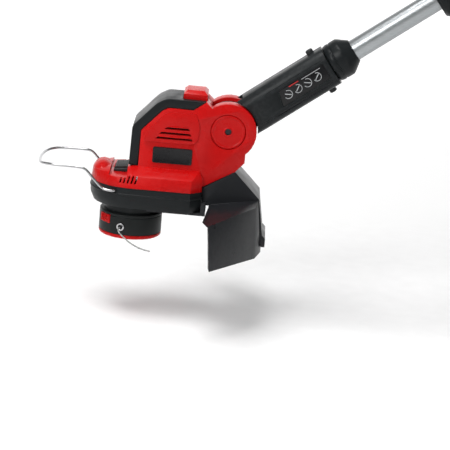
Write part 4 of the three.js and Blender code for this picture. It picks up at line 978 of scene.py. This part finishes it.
def shaft_plate(name, outline, low, high, ease=0.0, steps=4):
    points = [on_shaft(s, low, w) for s, w in outline]
    if ease:
        points = eased(points, ease * MM, steps, True)
    return plate(name, points, ACROSS * (high - low) * MM)


handle = shaft_plate("handle", HANDLE, -19, 19, 12, 5)
cut_away(handle, shaft_plate("gap", GAP, -30, 30, 7, 5))
edged(handle, 6, 5)
NECK = [(0, 740), (24, 740), (26.6, 743), (27, 746), (27, 764), (26.2, 768), (22, 770), (0, 770)]
cut_away(handle, turned("neck", eased(NECK, 1.0), PIVOT, ALONG, ABOVE, 72), operation="UNION")
dock = shaft_bar("dock", (990, -30, -12), (1104, 30, -4))
edged(dock, 2.5, 3)
cut_away(handle, dock, operation="UNION")
cut_away(handle, drum("tube_seat", 15.1, 735, 800, PIVOT, ALONG, ABOVE),
         shaft_bar("trigger_slot", (853.5, -9.6, -10), (888.5, 9.6, 20)),
         shaft_bar("button_slot", (823.5, -7.5, 28), (844.5, 7.5, 60)),
         shaft_bar("terminal_slot", (1004, -14, -14), (1036, 14, -0.5)))
parted(handle, "handle_half_", "handle", "red_plastic", "handle_shell_")

# %% [markdown]
# The grip wears a soft black cover, and the rear block has cooling slots. Both are plates
# with rounded edges, modelled for one side and repeated for the other.

# %% Grip covers, slots and screws
GRIP_COVER = [(848, 12), (850, 39), (866, 40.5), (940, 40.5), (962, 37), (966, 12)]
for side, half in SIDES:
    low, high = sorted((side * 17.5, side * 19.7))
    pad = shaft_plate("grip_cover_" + half, GRIP_COVER, low, high, 6, 5)
    edged(pad, 1.0, 3)
    placed(pad, "handle", "soft_grip")
    for k in range(6):
        s = 866 + 15 * k
        low_rib, high_rib = sorted((side * 19.2, side * 20.3))
        outline = [(s - 2.5, 17), (s + 2.5, 17), (s + 2.5, 36), (s - 2.5, 36)]
        rib = shaft_plate(f"grip_rib_{half}_{k}", outline, low_rib, high_rib, 2, 3)
        edged(rib, 0.6, 3)
        placed(rib, "handle", "soft_grip")
    for k in range(5):
        s = 1030 + 12 * k
        low_slot, high_slot = sorted((side * 18.9, side * 19.35))
        slot = shaft_plate(f"rear_slot_{half}_{k}", [(s - 2, 4), (s + 2, 4), (s + 5, 24), (s + 1, 24)],
                           low_slot, high_slot, 1.5, 3)
        edged(slot, 0.2, 2)
        placed(slot, "handle", "black_plastic")
SCREW = [(1.3, -0.6), (1.3, 0.1), (3.0, 0.1), (3.4, -0.2), (3.4, -0.6), (1.3, -0.6)]
SCREW_PLACES = ((760, 0), (812, -20), (984, 22), (1012, 26), (852, -46), (968, -46))
for k, (s, w) in enumerate(SCREW_PLACES):
    y = -27.05 if k == 0 else -19.05
    screw = turned(f"handle_screw_{k}", eased(SCREW, 0.2), on_shaft(s, y, w), -ACROSS, UP, 24)
    placed(screw, "handle", "blackened_steel")
print("grip covers, slots and screws made")

# %% [markdown]
# ## Trigger, button and battery
# These small mouldings keep their model shapes with larger rounds. The battery gets grip
# ridges on both sides and four round charge lamps below its latch.

# %% Controls and battery
rounded("trigger", "trigger_moulding", 2.0, "trigger", segments=4)
rounded("safety_button", "safety_button_moulding", 1.2, "safety_button", segments=3)
rounded("battery_case", "battery_case_moulding", 3.0, "battery", segments=4, angle=50)
rounded("battery_latch", "battery_latch_moulding", 1.2, "battery_latch", segments=3)
for side, half in SIDES:
    for k in range(5):
        s = 1040 + 9 * k
        low_rib, high_rib = sorted((side * 36, side * 38))
        rib = shaft_plate(f"battery_rib_{half}_{k}", [(s, -56), (s + 4, -56), (s + 4, -24), (s, -24)],
                          low_rib, high_rib, 1.8, 3)
        edged(rib, 0.8, 3)
        placed(rib, "battery", "black_plastic")
FINISH["charge_lamp"] = moulded("charge_lamp", (0.04, 0.30, 0.06), 0.25, 300, 0.02, 0.0)
BATTERY_END = 1098
LAMP = [(0, BATTERY_END - 0.5), (1.7, BATTERY_END - 0.5), (1.7, BATTERY_END + 0.3),
        (0, BATTERY_END + 0.6)]
for k in range(4):
    lamp = turned(f"charge_lamp_{k}", eased(LAMP, 0.3), on_shaft(0, 6 * k - 9, -52), ALONG, ABOVE, 24)
    placed(lamp, "battery", "charge_lamp")
print("battery made")

# %% [markdown]
# ## Floor, backdrop and light
# The trimmer is held a little above a plain pale floor that curves up behind it. The paper
# glows a little more the further back it lies, so that it stays white. Large soft lights
# from the front, the top and the side give the long, even reflections that show the
# mouldings.

# %% Studio
FLOOR_DROP = 0.09
lowest = size_at_start[0][2] - FLOOR_DROP
sweep = [Vector((-8, -6, lowest)), Vector((-8, 5, lowest)), Vector((-8, 8, lowest + 1.2)),
         Vector((-8, 9, lowest + 7))]
backdrop = drawn_line("backdrop", eased(sweep, 2.0, 8))
bpy.ops.mesh.extrude_region_move(TRANSFORM_OT_translate={"value": (16, 0, 0)})
bpy.ops.object.mode_set(mode="OBJECT")
nothing_selected()
backdrop.select_set(True)
bpy.context.view_layer.objects.active = backdrop
bpy.ops.object.shade_smooth()
paper = bpy.data.materials.new("pale_paper")
tree, add, shader = node_maker(paper)
fibre = noise_from(tree, add, add("ShaderNodeTexCoord").outputs["Object"], 40, 4)
tree.links.new(mixed(tree, add, ranged(tree, add, fibre, 0, 1), (0.86, 0.86, 0.86),
                     (0.89, 0.89, 0.89)), shader.inputs["Base Color"])
shader.inputs["Roughness"].default_value = 0.9
shader.inputs["Emission Color"].default_value = (1, 1, 1, 1)
away = add("ShaderNodeSeparateXYZ")
tree.links.new(add("ShaderNodeTexCoord").outputs["Object"], away.inputs[0])
tree.links.new(ranged(tree, add, away.outputs["Y"], 0.05, 0.9, 0.3, 3.0),
               shader.inputs["Emission Strength"])
backdrop.data.materials.append(paper)
backdrop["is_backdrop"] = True


def soft_light(name, place, aim, size, power):
    data = bpy.data.lights.new(name, "AREA")
    data.shape = "RECTANGLE"
    data.size, data.size_y = size
    data.energy = power
    lamp = bpy.data.objects.new(name, data)
    bpy.context.scene.collection.objects.link(lamp)
    toward = Vector(aim) - Vector(place)
    lamp.matrix_world = Matrix.Translation(place) @ toward.to_track_quat("-Z", "Y").to_matrix().to_4x4()
    return lamp


soft_light("top_light", (-1.1, -0.4, 1.3), (-0.7, 0, -0.6), (1.2, 0.8), 36)
soft_light("front_light", (-2.0, -2.0, 0.7), (-0.7, 0, -0.6), (0.9, 1.1), 27)
soft_light("side_light", (1.4, -1.8, 0.0), (-0.5, 0, -0.5), (0.5, 1.2), 7)
world = bpy.data.worlds.new("studio")
bpy.context.scene.world = world
world.use_nodes = True
world.node_tree.nodes["Background"].inputs["Color"].default_value = (1, 1, 1, 1)
world.node_tree.nodes["Background"].inputs["Strength"].default_value = 0.26
bpy.context.scene.view_settings.view_transform = "Standard"
print("studio is set")

# %% Sizes
size_at_end = [list(corner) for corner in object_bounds()]
for axis, low_a, low_b, high_a, high_b in zip("XYZ", size_at_start[0], size_at_end[0],
                                              size_at_start[1], size_at_end[1]):
    print(axis, round((low_b - low_a) * 1000, 2), round((high_b - high_a) * 1000, 2), "mm")
